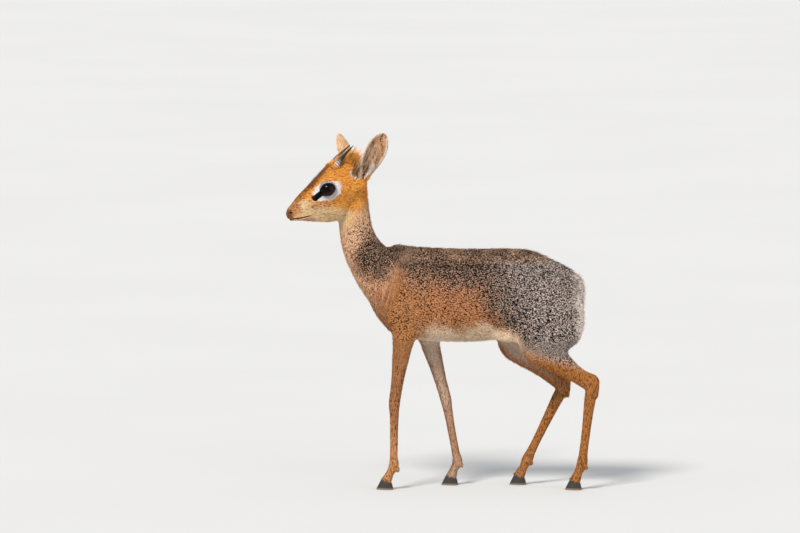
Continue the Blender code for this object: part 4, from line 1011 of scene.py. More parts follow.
class EarFrame:
    """An ear's own axes, and its cup's radius and how far it is rolled at each share of its length."""

    def __init__(self, side):
        along, opens = EARS[side]
        self.along = np.array(along.normalized())
        opens = np.array(opens)
        self.opens = opens - self.along * (opens @ self.along)
        self.opens /= np.sqrt(self.opens @ self.opens)
        self.across = np.cross(self.along, self.opens)
        self.root = np.array(from_head(EAR_ROOT.x, SIGNS[side] * EAR_ROOT.y, EAR_ROOT.z))
        # Which way round the cup its front rim is
        self.front = -SIGNS[side]

    def row(self, share):
        """The cup's radius and half its turn at a share of the ear's length."""
        places = np.linspace(0, 1, len(EAR_ROLLS))
        roll = np.radians(np.interp(share, places, EAR_ROLLS))
        half_width = np.interp(share, places, EAR_HALF_WIDTHS)
        return half_width / np.where(roll < pi / 2, np.sin(roll), 1), roll

    def middle(self, share):
        """The middle line of the cup's curve."""
        radius, roll = self.row(share)
        reach = radius * np.cos(np.minimum(roll, pi / 2)) - EAR_LEAN * share**2
        return self.root + np.outer(share, self.along * EAR_LENGTH) + np.outer(reach, self.opens)

    def measure(self, points):
        """Each point's share of the ear's length, and how far it is from the cup's middle line."""
        share = (points - self.root) @ self.along / EAR_LENGTH
        rest = points - self.middle(np.clip(share, 0, 1))
        rest = rest - np.outer(rest @ self.along, self.along)
        return share, lengths(rest)

    def on_cup(self, share, turn, inner):
        """A point on the inner or outer side, and the way out of the surface there."""
        radius, _ = self.row(share)
        out = np.outer(np.sin(turn), self.across) - np.outer(np.cos(turn), self.opens)
        thick = EAR_THICK * (1 - 0.45 * share)
        reach = np.maximum(radius - thick - 0.0001, radius * 0.2) if inner else radius + 0.0002
        return self.middle(share) + out * reach[:, None], -out if inner else out


# The middle of the photograph's frame, and the lens that fills it from 12 m away
CAMERA_AIM = Vector((-0.0666, 0.0, 0.3433))
CAMERA_LENS = 348.4
FLOOR_REACH = 40
SKY_COLOUR = (0.90, 0.94, 1.0, 1)
SKY_STRENGTH = 0.68
Lamp = namedtuple("Lamp", "name way strength wide colour")
LAMPS = (
    Lamp("key", (-0.45, -0.85, 1.0), 3.1, 16, (1.0, 0.97, 0.93)),
    Lamp("fill", (0.9, -0.9, 0.35), 0.70, 50, (0.95, 0.97, 1.0)),
)


def make_stage(settings):
    """A pale floor, soft sky light with a key and a fill, and the camera."""
    corners = [(x * FLOOR_REACH, y * FLOOR_REACH, 0) for x, y in ((-1, -1), (1, -1), (1, 1), (-1, 1))]
    floor = new_mesh("floor", corners, [(0, 1, 2, 3)])
    shader = Shader("floor")
    position = shader.place()
    cloudy = shader.noise(position, 1.3, 3.0)
    colour = shader.mix(cloudy, srgb(204, 203, 200), srgb(211, 210, 208))
    floor.data.materials.append(shader.surface(Base_Color=colour, Roughness=0.85, Specular_IOR_Level=0.1))
    world = bpy.data.worlds.new("studio")
    world.use_nodes = True
    sky = world.node_tree.nodes["Background"]
    sky.inputs["Color"].default_value = SKY_COLOUR
    sky.inputs["Strength"].default_value = SKY_STRENGTH
    bpy.context.scene.world = world
    bpy.context.scene.view_settings.view_transform = "Standard"
    for lamp in LAMPS:
        light = bpy.data.lights.new(lamp.name, "SUN")
        light.energy = lamp.strength
        light.angle = radians(lamp.wide)
        light.color = lamp.colour
        hung = link(bpy.data.objects.new(lamp.name, light))
        hung.rotation_euler = Vector(lamp.way).to_track_quat("Z", "Y").to_euler()
    camera_data = bpy.data.cameras.new("camera")
    camera_data.lens = CAMERA_LENS
    camera_data.sensor_width = 36
    camera_data.clip_end = 200
    camera = link(bpy.data.objects.new("camera", camera_data))
    away = Vector((0, -cos(settings.elevation), sin(settings.elevation)))
    camera.location = CAMERA_AIM + away * settings.distance
    camera.rotation_euler = away.to_track_quat("Z", "Y").to_euler()
    bpy.context.scene.camera = camera


def head_way(way, side):
    """A direction in the head's own frame, on one side, in the model's."""
    flipped = Vector((way.x, way.y * SIGNS[side], way.z))
    return (HEAD_MATRIX.to_3x3() @ flipped).normalized()


def eye_axes(side):
    """The ways back, up and out of an eye's front."""
    return np.array([head_way(way, side) for way in (EYE_BACK, EYE_UP, EYE_OUT)])


def make_eyes(settings):
    """Eyeballs that keep each point's place across the eye for the pupil and the iris."""
    material = eye_material(settings.painted_iris_glow)
    for side, centre in EYES.items():
        back, up, _ = eye_axes(side)
        shape = bmesh.new()
        bmesh.ops.create_uvsphere(shape, u_segments=96, v_segments=64, radius=EYE_RADIUS - 0.0001)
        eye = object_of(f"eyeball_{side}", shape)
        points = points_of(eye)
        keep_values(eye.data, "back", points @ back)
        keep_values(eye.data, "up", points @ up)
        eye.data.transform(Matrix.Translation(centre))
        finish_piece(eye, material, (f"eye_{side}",))


def on_lids(angle, spread=0.0):
    """A point of the eye's opening: back and up from the eye's middle, longer toward the tear gland."""
    long = (LID_LONG + spread) * np.cos(angle) * (1 + 0.16 * np.maximum(0, -np.cos(angle)) ** 6)
    high = (LID_HIGH + spread) * np.sin(angle)
    return long * cos(LID_SLOPE) - high * sin(LID_SLOPE), long * sin(LID_SLOPE) + high * cos(LID_SLOPE)


def make_lids():
    """The bare black rims of the lids, thicker above."""
    steps, sides = 120, 16
    pieces = []
    for side, centre in EYES.items():
        rows = []
        angle = np.arange(steps) * 2 * pi / steps
        upper = 0.5 + 0.5 * np.sin(angle)
        thick = 0.00065 + 0.00030 * upper
        across, up = on_lids(angle, 0.0)
        middle = np.stack([across, up, np.zeros(steps)], axis=1)
        radial = unit(middle)
        rise = np.sqrt(np.maximum((EYE_RADIUS + 0.0002) ** 2 - across**2 - up**2, 0))
        middle[:, 2] = rise
        for turn in np.arange(sides) * 2 * pi / sides:
            fold = 1 + 0.12 * np.sin(3 * turn + 7 * angle)
            place = middle + radial * (thick * 1.15 * cos(turn) * fold)[:, None]
            place[:, 2] += thick * sin(turn) * fold
            rows.append(place @ eye_axes(side) + np.array(centre))
        pieces.append(new_mesh(f"lid_{side}", np.concatenate(rows), grid_faces(sides, steps, ring=True)))
    lids = join_objects("lids", pieces)
    recalculate(lids)
    finish_piece(lids, lid_material())


def recalculate(obj):
    shape = bmesh.new()
    shape.from_mesh(obj.data)
    bmesh.ops.recalc_face_normals(shape, faces=shape.faces)
    shape.to_mesh(obj.data)
    shape.free()


# The horns, in the head's own frame
HORN_ROOT = Vector((-0.1760, 0.0125, 0.4960))
HORN_TIP = Vector((-0.1420, 0.0085, 0.5325))
HORN_RINGED = 0.52
HORN_BOW = 0.0016


def make_horns(settings):
    """Straight tapering horns, ringed and ridged below, smooth and sharp above."""
    material = horn_material(settings.tip_colour)
    rows, columns = 110, 48
    for side, sign in SIGNS.items():
        root = from_head(HORN_ROOT.x, sign * HORN_ROOT.y, HORN_ROOT.z)
        tip = from_head(HORN_TIP.x, sign * HORN_TIP.y, HORN_TIP.z)
        turn = (tip - root).to_track_quat("Z", "X").to_matrix()
        share = np.linspace(-0.04, 1, rows)
        angle = np.arange(columns) * 2 * pi / columns
        along = np.clip(share, 0, 1)
        ring = np.sin(pi * settings.rings * along / HORN_RINGED) ** 2 * smooth_step(share, 0.55, 0.40)
        radius = settings.radius * (1 - along) ** 0.95 + 0.0004
        ridges = 0.00010 * np.sin(angle * 11) + 0.00006 * np.sin(angle * 23 + 1)
        wide = radius[:, None] + 0.00055 * ring[:, None] * (1 + 0.35 * np.sin(angle * 2 + 0.5))
        wide = wide + ridges * smooth_step(share, 0.75, 0.3)[:, None]
        wide[-1] = 0.0001
        wide *= smooth_step(share, -0.08, 0.02)[:, None]
        bow = HORN_BOW * np.sin(pi * along)
        lean = 0.0005 * np.sin(angle * 2)[None] * ring[:, None]
        grid = np.stack(
            [
                wide * np.cos(angle) + bow[:, None],
                wide * np.sin(angle),
                np.repeat((share * (tip - root).length)[:, None], columns, axis=1) + lean,
            ],
            axis=2,
        )
        points = grid.reshape(-1, 3) @ np.array(turn).T + np.array(root)
        horn = new_mesh(f"horn_dressed_{side}", points, grid_faces(rows, columns))
        keep_values(horn.data, "along", np.repeat(along, columns))
        keep_values(horn.data, "ring", np.repeat(ring, columns))
        recalculate(horn)
        finish_piece(horn, material, (f"horn_{side}",))


def make_hooves():
    """The claws with softened edges."""
    material = hoof_material()
    hooves = join_objects("hooves", [copy_node(name) for name in HOOVES])
    apply_modifier(hooves, "REMESH", mode="VOXEL", voxel_size=HOOF_GRID, adaptivity=0.0)
    points, triangles = points_of(hooves), triangles_of(hooves)
    move_points(hooves, relax(points, edges_of(triangles), np.full(len(points), 0.9), HOOF_ROUNDS))
    finish_piece(hooves, material, HOOVES)


# How far a tuft's tip sinks back toward the skin, as a share of its rise
TUFT_CURL = 0.35


def tufts(name, roots, normals, lie, length, width, lift, rng, steps=2, spread=13, roll=18):
    """Thin tapered blades. Each stands on its root, leans along the lie and bends with it."""
    count = len(roots)
    tangent = unit(lie - normals * (lie * normals).sum(axis=1)[:, None])
    across = np.cross(normals, tangent)
    turn = rng.normal(0, radians(spread), count)
    tangent, across = (
        tangent * np.cos(turn)[:, None] + across * np.sin(turn)[:, None],
        across * np.cos(turn)[:, None] - tangent * np.sin(turn)[:, None],
    )
    length = length * rng.uniform(0.70, 1.25, count)
    width = width * rng.uniform(0.75, 1.30, count)
    lift = lift * rng.uniform(0.4, 1.6, count)
    rolled = rng.normal(0, radians(roll), count)
    flat = across * np.cos(rolled)[:, None] + normals * np.sin(rolled)[:, None]
    bend = rng.normal(0, 0.12, count)
    sunk = np.minimum(0.0006, 0.15 * length)
    rows, alongs = [], []
    for step in range(steps + 1):
        share = step / steps
        rise = np.sin(lift) * (share - TUFT_CURL * share**2) * length - sunk * (1 - share)
        centre = roots + (
            tangent * (np.cos(lift) * share * length)[:, None]
            + normals * rise[:, None]
            + across * (bend * share**2 * length)[:, None]
        )
        half = width / 2 * (1.0 if step == 0 else (1 - share) ** 0.7 * 1.15)
        if step < steps:
            rows += [centre - flat * half[:, None], centre + flat * half[:, None]]
            alongs += [share, share]
        else:
            rows.append(centre)
            alongs.append(1.0)
    corners = len(rows)
    points = np.stack(rows, axis=1).reshape(-1, 3)
    faces = []
    for step in range(steps - 1):
        low = step * 2
        faces += [(low, low + 1, low + 3), (low, low + 3, low + 2)]
    faces.append((corners - 3, corners - 2, corners - 1))
    offsets = (np.arange(count) * corners)[:, None, None]
    triangles = (np.array(faces)[None] + offsets).reshape(-1, 3)
    obj = new_mesh(name, points, triangles)
    keep_values(obj.data, "along", np.tile(alongs, count))
    keep_values(obj.data, "speck", np.repeat(rng.uniform(0, 1, count), corners))
    keep_values(obj.data, "shade", np.repeat(rng.uniform(0, 1, count), corners))
    return obj, corners, np.array(alongs)


# The width of a tuft's patch on the unwrap
PATCH = 0.003


def unwrap(piece, places):
    """Lays each tuft on a small patch at its root's place on the body rolled out flat, 0 to 1 each way."""
    obj, corners, alongs = piece
    u, v = [PATCH + np.clip(part, 0, 1) * (1 - 3 * PATCH) for part in places]
    share = np.tile(alongs, len(u))
    side = np.tile(np.arange(corners) % 2, len(u))
    across = side * (1 - share * 0.5)
    spots = np.stack([np.repeat(u, corners) + share * PATCH, np.repeat(v, corners) + across * PATCH], axis=1)
    triangles = triangles_of(obj)
    layer = obj.data.uv_layers.new(name="OFBake", do_init=False)
    layer.data.foreach_set("uv", spots[triangles.ravel()].astype(np.float32).ravel())
    return obj


def spread_out(values):
    low, high = values.min(), values.max()
    return (values - low) / max(high - low, 1e-9)


def rolled_out(roots):
    """The trunk, neck or head rolled out round its own middle line."""
    stops, heights = (-0.24, -0.18, -0.13, -0.10, 0.0, 0.22), (0.43, 0.455, 0.42, 0.33, 0.30, 0.30)
    axis = np.interp(roots[:, 0], stops, heights)
    turn = np.arctan2(roots[:, 1] - MIDLINE, roots[:, 2] - axis) / (2 * pi) + 0.5
    return spread_out(roots[:, 0]), turn


def neck_rolled_out(roots):
    """The upright neck rolled out round its middle."""
    middle = np.interp(roots[:, 2], (0.25, 0.34, 0.40, 0.46), (-0.07, -0.105, -0.125, -0.135))
    turn = np.arctan2(roots[:, 1] - MIDLINE, roots[:, 0] - middle) / (2 * pi) + 0.5
    return turn, spread_out(roots[:, 2])


def legs_rolled_out(roots):
    """The left leg and the right leg side by side, each rolled out round its own middle line."""
    u = np.zeros(len(roots))
    for half, leg in enumerate((roots[:, 1] < MIDLINE, roots[:, 1] >= MIDLINE)):
        part = roots[leg]
        level = np.digitize(part[:, 2], np.linspace(0.02, 0.24, 24))
        counts = np.maximum(np.bincount(level, minlength=26), 1)
        middle = [np.bincount(level, part[:, axis], 26) / counts for axis in (0, 1)]
        turn = np.arctan2(part[:, 1] - middle[1][level], part[:, 0] - middle[0][level]) / (2 * pi) + 0.5
        u[leg] = (half + turn) / 2
    return u, spread_out(roots[:, 2])


def joined(parts):
    """Each column of several parts as one array."""
    return [np.concatenate(column) for column in zip(*parts)]


def scatter(surface, chosen, density, rng):
    """Roots and normals spread evenly over chosen triangles, as many to a square metre as density says."""
    points, triangles, normals = surface
    corners = points[triangles[chosen]]
    areas = lengths(np.cross(corners[:, 1] - corners[:, 0], corners[:, 2] - corners[:, 0])) / 2
    running = np.cumsum(areas * density[chosen])
    count = int(running[-1])
    marks = (np.arange(count) + rng.random(count)) / count * running[-1]
    found = np.searchsorted(running, marks).clip(0, len(chosen) - 1)
    a, b = rng.random(count), rng.random(count)
    flip = a + b > 1
    a[flip], b[flip] = 1 - a[flip], 1 - b[flip]
    weights = np.stack([1 - a - b, a, b], axis=1)[:, :, None]
    facing = unit((normals[triangles[chosen][found]] * weights).sum(axis=1))
    return (corners[found] * weights).sum(axis=1), facing


def eye_places(points, side):
    """Where points are across an eye's front: back, up and out from its middle."""
    return [(points - np.array(EYES[side])) @ way for way in eye_axes(side)]


def round_eyes(points, lie):
    """The lie with the hair round each eye turned away from it, and how near its opening a point is."""
    opening = np.full(len(points), 9.0)
    for side in EYES:
        back, up, out = eye_places(points, side)
        lean_back = back * cos(LID_SLOPE) + up * sin(LID_SLOPE)
        lean_up = up * cos(LID_SLOPE) - back * sin(LID_SLOPE)
        apart = np.sqrt((lean_back / LID_LONG) ** 2 + (lean_up / LID_HIGH) ** 2)
        apart = np.where(out > -0.002, apart, 9.0)
        opening = np.minimum(opening, apart)
        back_way, up_way, _ = eye_axes(side)
        away = unit(np.outer(back, back_way) + np.outer(up, up_way))
        near = smooth_step(apart, 2.1, 1.2)[:, None]
        lie = unit(lie * (1 - near) + away * near)
    return lie, opening


def drop_flaps(obj):
    """Takes out folded pairs of faces on the same corners, which the thinning of a mesh can leave."""
    shape = bmesh.new()
    shape.from_mesh(obj.data)
    found = {}
    for face in shape.faces:
        found.setdefault(frozenset(vertex.index for vertex in face.verts), []).append(face)
    flaps = [face for faces in found.values() if len(faces) > 1 for face in faces]
    bmesh.ops.delete(shape, geom=flaps, context="FACES")
    shape.to_mesh(obj.data)
    shape.free()


def make_coat(skin, settings):
    """The tufts of the whole body in pieces that a maker can still handle."""
    material = coat_material()
    rng = np.random.default_rng(COAT_SEED)
    surface = surface_of(skin)
    points, triangles, _ = surface
    middles = points[triangles].mean(axis=1)
    _, length, width, _ = coat_at(middles)
    lie, opening = round_eyes(middles, np.ones_like(middles))
    head_middles = to_head(middles)
    above_mouth = head_middles[:, 2] - mouth_height(head_middles[:, 0])
    mouth = (np.abs(above_mouth) < 0.0010) & (head_middles[:, 0] < -0.2125)
    usable = (in_ears(middles) < 0.5) & (opening > 1.14) & ~mouth
    x, level = middles[:, 0], middles[:, 2]
    head = head_line(x, level) > HEAD_FROM
    legs = (level < LEGS_BELOW) & ~head
    neck = ~head & ~legs & (neck_line(x, level) < NECK_UP_TO)
    trunk = ~head & ~legs & ~neck
    rear = trunk & (x > REAR_FROM)
    regions = (
        ("coat_head", head, "face", settings.face_cover, rolled_out),
        ("coat_neck", neck, "neck", settings.cover, neck_rolled_out),
        ("coat_front", trunk & ~rear, "body", settings.cover, rolled_out),
        ("coat_rear", rear, "body", settings.cover, rolled_out),
        ("coat_forelegs", legs & (x < HIND_LEGS_FROM), "leg", settings.leg_cover, legs_rolled_out),
        ("coat_hindlegs", legs & (x >= HIND_LEGS_FROM), "leg", settings.leg_cover, legs_rolled_out),
    )
    for name, region, slot, cover, roll_out in regions:
        chosen = np.nonzero(region & usable)[0]
        roots, facing = scatter(surface, chosen, cover / (length * width), rng)
        lie, long, wide, lift = coat_at(roots)
        lie, opening = round_eyes(roots, lie)
        long = long * np.clip((opening - 0.75) * 1.6, 0.45, 1.0)
        piece = tufts(name, roots, facing, lie, long, wide, lift, rng)
        finish_piece(unwrap(piece, roll_out(roots)), material, smooth=False)


# The crest's roots and tips, as x and z in the head's own frame
CREST_ROOTS = ((-0.190, 0.4935), (-0.176, 0.4985), (-0.164, 0.5010), (-0.152, 0.5000), (-0.141, 0.4960))
CREST_TIPS = ((-0.179, 0.5070), (-0.164, 0.5175), (-0.149, 0.5260), (-0.134, 0.5300), (-0.120, 0.5245))
# How much wider the tips fan than the roots, how many locks there are, and how many hairs are in a lock
CREST_FAN = 1.25
CREST_LOCKS = 54
CREST_HAIRS = 46
CREST_HAIR_WIDTH = 0.0008


def make_crest(settings):
    """The tuft of long hair on the crown: locks of hairs that draw together, raised and fanned backward."""
    rng = np.random.default_rng(COAT_SEED + 1)
    stops = np.linspace(0, 1, len(CREST_ROOTS))
    locks, each = CREST_LOCKS, CREST_HAIRS
    share = np.repeat((np.arange(locks) + rng.uniform(0.2, 0.8, locks)) / locks, each)
    across = np.repeat(rng.normal(0, 0.5, locks).clip(-1, 1), each)
    reach = np.repeat(rng.uniform(0.62, 1.0, locks), each) * rng.uniform(0.8, 1.04, locks * each)
    tone = np.repeat(rng.uniform(0, 1, locks), each)
    root, tip = [
        np.stack([np.interp(share, stops, [spot[0] for spot in line]), across * wide,
                  np.interp(share, stops, [spot[1] for spot in line])], axis=1)
        for line, wide in (
            (CREST_ROOTS, settings.crest_half_width), (CREST_TIPS, settings.crest_half_width * CREST_FAN),
        )
    ]
    root[:, 2] -= 0.0035 + 0.0035 * across**2
    root += rng.normal(0, 0.0013, root.shape)
    tip[:, 2] -= 0.004 * np.abs(across)
    tip += rng.normal(0, 0.0005, tip.shape)
    tip = root + (tip - root) * reach[:, None]
    turn = np.array(HEAD_MATRIX)
    ends = [(end + (HEAD_SHIFT, MIDLINE, 0)) @ turn[:3, :3].T + turn[:3, 3] for end in (root, tip)]
    way = ends[1] - ends[0]
    count = len(way)
    angle = rng.uniform(0, 2 * pi, count)
    normals = np.stack([np.cos(angle), np.sin(angle), np.zeros(count)], axis=1)
    normals = unit(normals - unit(way) * (normals * unit(way)).sum(axis=1)[:, None])
    piece = tufts("crest", ends[0], normals, unit(way), lengths(way) * 1.02, np.full(count, CREST_HAIR_WIDTH),
                  np.zeros(count), rng, steps=3, spread=3)
    retone(piece, tone)
    finish_piece(unwrap(piece, (share, across / 2 + 0.5)), plain_fur_material("crest_hair", CREST))


def retone(piece, tone):
    """Makes tufts of one lock nearly alike, from a number of 0 to 1 for each tuft."""
    obj, corners, _ = piece
    layer = obj.data.attributes["speck"]
    own = np.empty(len(obj.data.vertices), np.float32)
    layer.data.foreach_get("value", own)
    layer.data.foreach_set("value", (np.repeat(tone, corners) * 0.7 + own * 0.3).astype(np.float32))


# The hair of an ear: its piece, how many, between which shares of the ear's length and of the cup's half
# turn toward its front rim, whether inside, its length and width, its lift in degrees and its slant
EarHair = namedtuple("EarHair", "piece count shares turns inner length width lift slant")
EAR_HAIR = (
    EarHair("ear_backs", 5200, (0.03, 0.97), (-0.98, 0.98), False, 0.0048, 0.00055, 8, 0.0),
    EarHair("ear_cups", 3600, (0.06, 0.99), (-0.92, 0.92), True, 0.0048, 0.00050, 10, 0.15),
    EarHair("ear_streaks", 150, (0.16, 0.5825), (-0.59, -0.51), True, 0.0125, 0.00060, 13, -0.60),
    EarHair("ear_streaks", 150, (0.16, 0.6825), (-0.19, -0.11), True, 0.0125, 0.00060, 13, -0.60),
    EarHair("ear_streaks", 150, (0.16, 0.6575), (0.21, 0.29), True, 0.0125, 0.00060, 13, -0.60),
    EarHair("ear_fringes", 1500, (0.02, 0.92), (0.93, 1.00), True, 0.0058, 0.00045, 20, -0.70),
    EarHair("ear_fringes", 1100, (0.00, 0.24), (0.30, 1.00), True, 0.0125, 0.00060, 20, -0.30),
    EarHair("ear_fringes", 420, (0.06, 0.97), (-1.00, -0.93), True, 0.0036, 0.00045, 14, 0.40),
)
EAR_FURS = {
    "ear_backs": EAR_BACK, "ear_cups": EAR_INSIDE, "ear_streaks": EAR_FRINGE, "ear_fringes": RIM_WHITE,
}


def make_ear_hair():
    """Short fur on the ears' backs and in their cups, pale streaks in the cups, and fringes on the rims."""
    rng = np.random.default_rng(COAT_SEED + 2)
    parts = {name: [] for name in EAR_FURS}
    for side in EARS:
        ear = EarFrame(side)
        for hair in EAR_HAIR:
            parts[hair.piece].append(ear_hair(ear, hair, rng))
    for name, kind in EAR_FURS.items():
        roots, normals, lie, long, wide, lift, places = joined(parts[name])
        piece = tufts(name, roots, normals, lie, long, wide, lift, rng, spread=9)
        if name == "ear_cups":
            retone(piece, 0.56 - 0.34 * np.cos(2 * pi * (places[:, 2] - EAR_FOLD_START) / EAR_FOLD_STEP))
        finish_piece(unwrap(piece, places.T[:2]), plain_fur_material(name, kind, 0.8))


def ear_hair(ear, hair, rng):
    """Roots over a stretch of one side of an ear, lying toward its tip with a slant across it."""
    share = rng.uniform(*hair.shares, hair.count)
    low, high = sorted(turn * ear.front for turn in hair.turns)
    place = rng.uniform(low, high, hair.count)
    _, roll = ear.row(share)
    turn = place * roll
    roots, normals = ear.on_cup(share, turn, hair.inner)
    across = np.outer(np.cos(turn), ear.across) + np.outer(np.sin(turn), ear.opens)
    lie = unit(ear.along + across * hair.slant * ear.front)
    long = hair.length * (1 - 0.45 * share)
    places = np.stack([share, (place + 1) / 2, share + EAR_FOLD_SLOPE * place * ear.front], axis=1)
    ones = np.ones(hair.count)
    return roots, normals, lie, long, ones * hair.width, ones * radians(hair.lift), places


# The hair before the ears: its piece and fur, its ring round the hollow as shares of its reach, how high up
# it still grows, its layers, its length, how much that varies, and its lift in degrees
EarFront = namedtuple("EarFront", "piece kind low high top cover length vary lift")
EAR_FRONTS = (
    # The dusky hair in the hollow is partly painted shade.
    EarFront("ear_hollow_hair_and_shade", EAR_FRONT, 0.0, 1.0, 0.010, 18.0, 0.0230, 0.45, 0),
    EarFront("ear_tufts", RIM_WHITE, 0.85, 1.55, -0.0010, 4.0, 0.0080, 0.0, 16),
)
EAR_FRONT_WIDTH = 0.0006


def make_ear_fronts(skin):
    """Dusky hair that fills the hollow between the crown and each ear, dark partly by its own colour and
    partly as painted shade of the hollow, with pale hair below it.
    """
    rng = np.random.default_rng(COAT_SEED + 4)
    surface = surface_of(skin)
    points, triangles, _ = surface
    middles = points[triangles].mean(axis=1)
    for hair in EAR_FRONTS:
        parts = []
        for side in EARS:
            ear = EarFrame(side)
            hollow = from_head(EAR_FRONT_ROOT.x, SIGNS[side] * EAR_FRONT_ROOT.y, EAR_FRONT_ROOT.z)
            rest = middles - np.array(hollow)
            apart = lengths(rest) / EAR_FRONT_REACH
            within = (apart >= hair.low) & (apart < hair.high) & (rest[:, 2] < hair.top)
            chosen = np.nonzero(within & (in_ears(middles) < 0.5))[0]
            density = np.full(len(middles), hair.cover / (hair.length * EAR_FRONT_WIDTH))
            roots, facing = scatter(surface, chosen, density, rng)
            lie = np.tile(unit((ear.along + np.array([0.10, 0, 0]))[None])[0], (len(roots), 1))
            ones = np.ones(len(roots))
            long = ones * hair.length
            if hair.vary:
                stray = rng.normal(0, 1, facing.shape)
                facing = unit(stray - lie * (stray * lie).sum(axis=1)[:, None])
                long = long * rng.uniform(1 - hair.vary, 1 + hair.vary, len(roots))
            places = np.stack([spread_out(roots[:, 0]), spread_out(roots[:, 2])], axis=1)
            wide, lift = ones * EAR_FRONT_WIDTH, ones * radians(hair.lift)
            parts.append((roots, facing, lie, long, wide, lift, places))
        roots, facing, lie, long, wide, lift, places = joined(parts)
        piece = tufts(hair.piece, roots, facing, lie, long, wide, lift, rng, steps=3, roll=60)
        finish_piece(unwrap(piece, places.T), plain_fur_material(hair.piece, hair.kind, 0.6))


# The lashes of one eye: how many, between which angles of its opening, how long and how wide
LASHES = 80
LASH_ANGLES = (20, 140)
LASH_LENGTH = 0.0034
LASH_WIDTH = 0.00034


def make_lashes():
    """Dark lashes on the upper lids."""
    rng = np.random.default_rng(COAT_SEED + 3)
    parts = []
    for side, centre in EYES.items():
        back, up, out = eye_axes(side)
        angle = np.radians(rng.uniform(*LASH_ANGLES, LASHES))
        across, rise = on_lids(angle, 0.0012)
        depth = np.sqrt(np.maximum(EYE_RADIUS**2 - across**2 - rise**2, 0))
        roots = np.outer(across, back) + np.outer(rise, up) + np.outer(depth, out) + np.array(centre)
        away = unit(np.outer(across, back) + np.outer(rise, up))
        lie = unit(away * 0.55 + out * 0.75 + back * 0.15)
        parts.append((roots, unit(away * 0.8 - out * 0.6), lie))
    roots, normals, lie = joined(parts)
    ones = np.ones(len(roots))
    long, wide = ones * LASH_LENGTH, ones * LASH_WIDTH
    piece = tufts("lashes", roots, normals, lie, long, wide, ones * 0.1, rng, steps=3)
    places = (np.arange(len(roots)) / len(roots), ones * 0.5)
    finish_piece(unwrap(piece, places), plain_fur_material("lash_hair", BLACK))


def cover_setting(name, where, default):
    """How thickly the tufts lie over a stretch of the body."""
    text = f"How many layers of tufts lie over {where}"
    return bpy.props.FloatProperty(name=name, description=text, default=default, min=0.5, max=6.0)


def colour_setting(name, description, default):
    return bpy.props.FloatVectorProperty(
        name=name, description=description, default=default, size=4, min=0.0, max=1.0, subtype="COLOR"
    )


class CoatSettings(bpy.types.PropertyGroup):
    """The coat's sizes."""

    cover: cover_setting("Cover", "the trunk and neck", 4.0)
    face_cover: cover_setting("Face cover", "the head", 3.2)
    leg_cover: cover_setting("Leg cover", "the legs", 2.2)
    crest_half_width: bpy.props.FloatProperty(
        name="Crest", description="Half the width of the crest at its roots", default=0.0062,
        min=0.002, max=0.010, precision=4, unit="LENGTH",
    )


class HeadSettings(bpy.types.PropertyGroup):
    """The sizes of the horns, and the colours of the horns' tips and of the painted light in the eyes."""

    radius: bpy.props.FloatProperty(
        name="Horn radius", description="The horn's radius at its root", default=0.0048,
        min=0.002, max=0.008, precision=4, unit="LENGTH",
    )
    rings: bpy.props.IntProperty(
        name="Horn rings", description="How many rings the horn's lower half has", default=7, min=3, max=12
    )
    tip_colour: colour_setting("Horn tip", "The colour of the horn's polished tip", srgb(14, 12, 15))
    # The iris colour is painted light, a glow low at the back of each eye.
    painted_iris_glow: colour_setting("Iris", "The colour of the iris where it is lit", (0.040, 0.0060, 0.0055, 1))


class StageSettings(bpy.types.PropertyGroup):
    """Where the camera stands."""

    distance: bpy.props.FloatProperty(
        name="Distance", description="How far away the camera stands", default=12.0,
        min=2.0, max=50.0, unit="LENGTH",
    )
    elevation: bpy.props.FloatProperty(
        name="Elevation", description="How steeply the camera looks down", default=radians(5),
        min=0.0, max=radians(80), subtype="ANGLE",
    )


class DIKDIK_OT_skin(bpy.types.Operator):
    """Builds the skin over the body"""

    bl_idname = "dikdik.skin"
    bl_label = "Skin"

    def execute(self, context):
        finish_piece(make_skin(), skin_material(), FLESH)
        return {"FINISHED"}


class DIKDIK_OT_eyes(bpy.types.Operator):
    """Builds the eyeballs, the rims of the lids and the lashes"""

    bl_idname = "dikdik.eyes"
    bl_label = "Eyes"

    def execute(self, context):
        make_eyes(context.scene.dikdik_head)
        make_lids()
        make_lashes()
        return {"FINISHED"}


class DIKDIK_OT_horns(bpy.types.Operator):
    """Builds the horns"""

    bl_idname = "dikdik.horns"
    bl_label = "Horns"

    def execute(self, context):
        make_horns(context.scene.dikdik_head)
        return {"FINISHED"}


class DIKDIK_OT_hooves(bpy.types.Operator):
    """Builds the hooves"""

    bl_idname = "dikdik.hooves"
    bl_label = "Hooves"

    def execute(self, context):
        make_hooves()
        return {"FINISHED"}


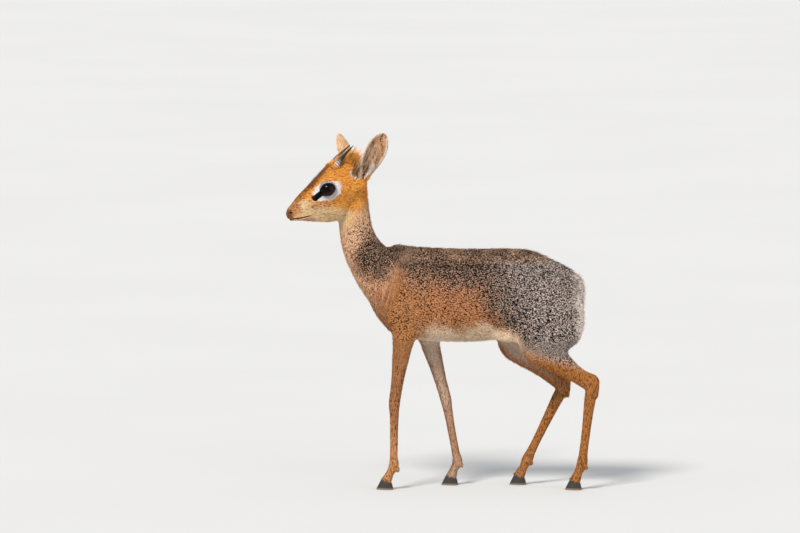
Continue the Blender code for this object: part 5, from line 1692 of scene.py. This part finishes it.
class DIKDIK_OT_coat(bpy.types.Operator):
    """Lays the coat on the skin, with the crest and the hair of the ears"""

    bl_idname = "dikdik.coat"
    bl_label = "Coat"

    def execute(self, context):
        skin = bpy.data.objects["skin"]
        make_coat(skin, context.scene.dikdik_coat)
        make_crest(context.scene.dikdik_coat)
        make_ear_hair()
        make_ear_fronts(skin)
        drop_flaps(skin)
        return {"FINISHED"}


class DIKDIK_OT_stage(bpy.types.Operator):
    """Sets the floor, the lights and the camera"""

    bl_idname = "dikdik.stage"
    bl_label = "Stage"

    def execute(self, context):
        make_stage(context.scene.dikdik_stage)
        return {"FINISHED"}


class DIKDIK_PT_panel(bpy.types.Panel):
    """Lists the pieces in the order in which they are built"""

    bl_idname = "DIKDIK_PT_panel"
    bl_label = "Dik-dik"
    bl_space_type = "VIEW_3D"
    bl_region_type = "UI"
    bl_category = "Dik-dik"

    def draw(self, context):
        column = self.layout.column()
        for name, group in GROUPS.items():
            for setting in group.__annotations__:
                column.prop(getattr(context.scene, name), setting)
        for operator in OPERATORS:
            column.operator(operator.bl_idname)


OPERATORS = (
    DIKDIK_OT_skin, DIKDIK_OT_eyes, DIKDIK_OT_horns, DIKDIK_OT_hooves, DIKDIK_OT_coat, DIKDIK_OT_stage,
)
GROUPS = {"dikdik_coat": CoatSettings, "dikdik_head": HeadSettings, "dikdik_stage": StageSettings}
CLASSES = (*GROUPS.values(), *OPERATORS, DIKDIK_PT_panel)


def register():
    for part in CLASSES:
        bpy.utils.register_class(part)
    for name, group in GROUPS.items():
        setattr(bpy.types.Scene, name, bpy.props.PointerProperty(type=group))


def unregister():
    for name in GROUPS:
        delattr(bpy.types.Scene, name)
    for part in reversed(CLASSES):
        bpy.utils.unregister_class(part)


def main():
    """Builds everything in order."""
    register()
    bpy.ops.dikdik.skin()
    bpy.ops.dikdik.eyes()
    bpy.ops.dikdik.horns()
    bpy.ops.dikdik.hooves()
    bpy.ops.dikdik.coat()
    bpy.ops.dikdik.stage()


if __name__ == "__main__":
    main()
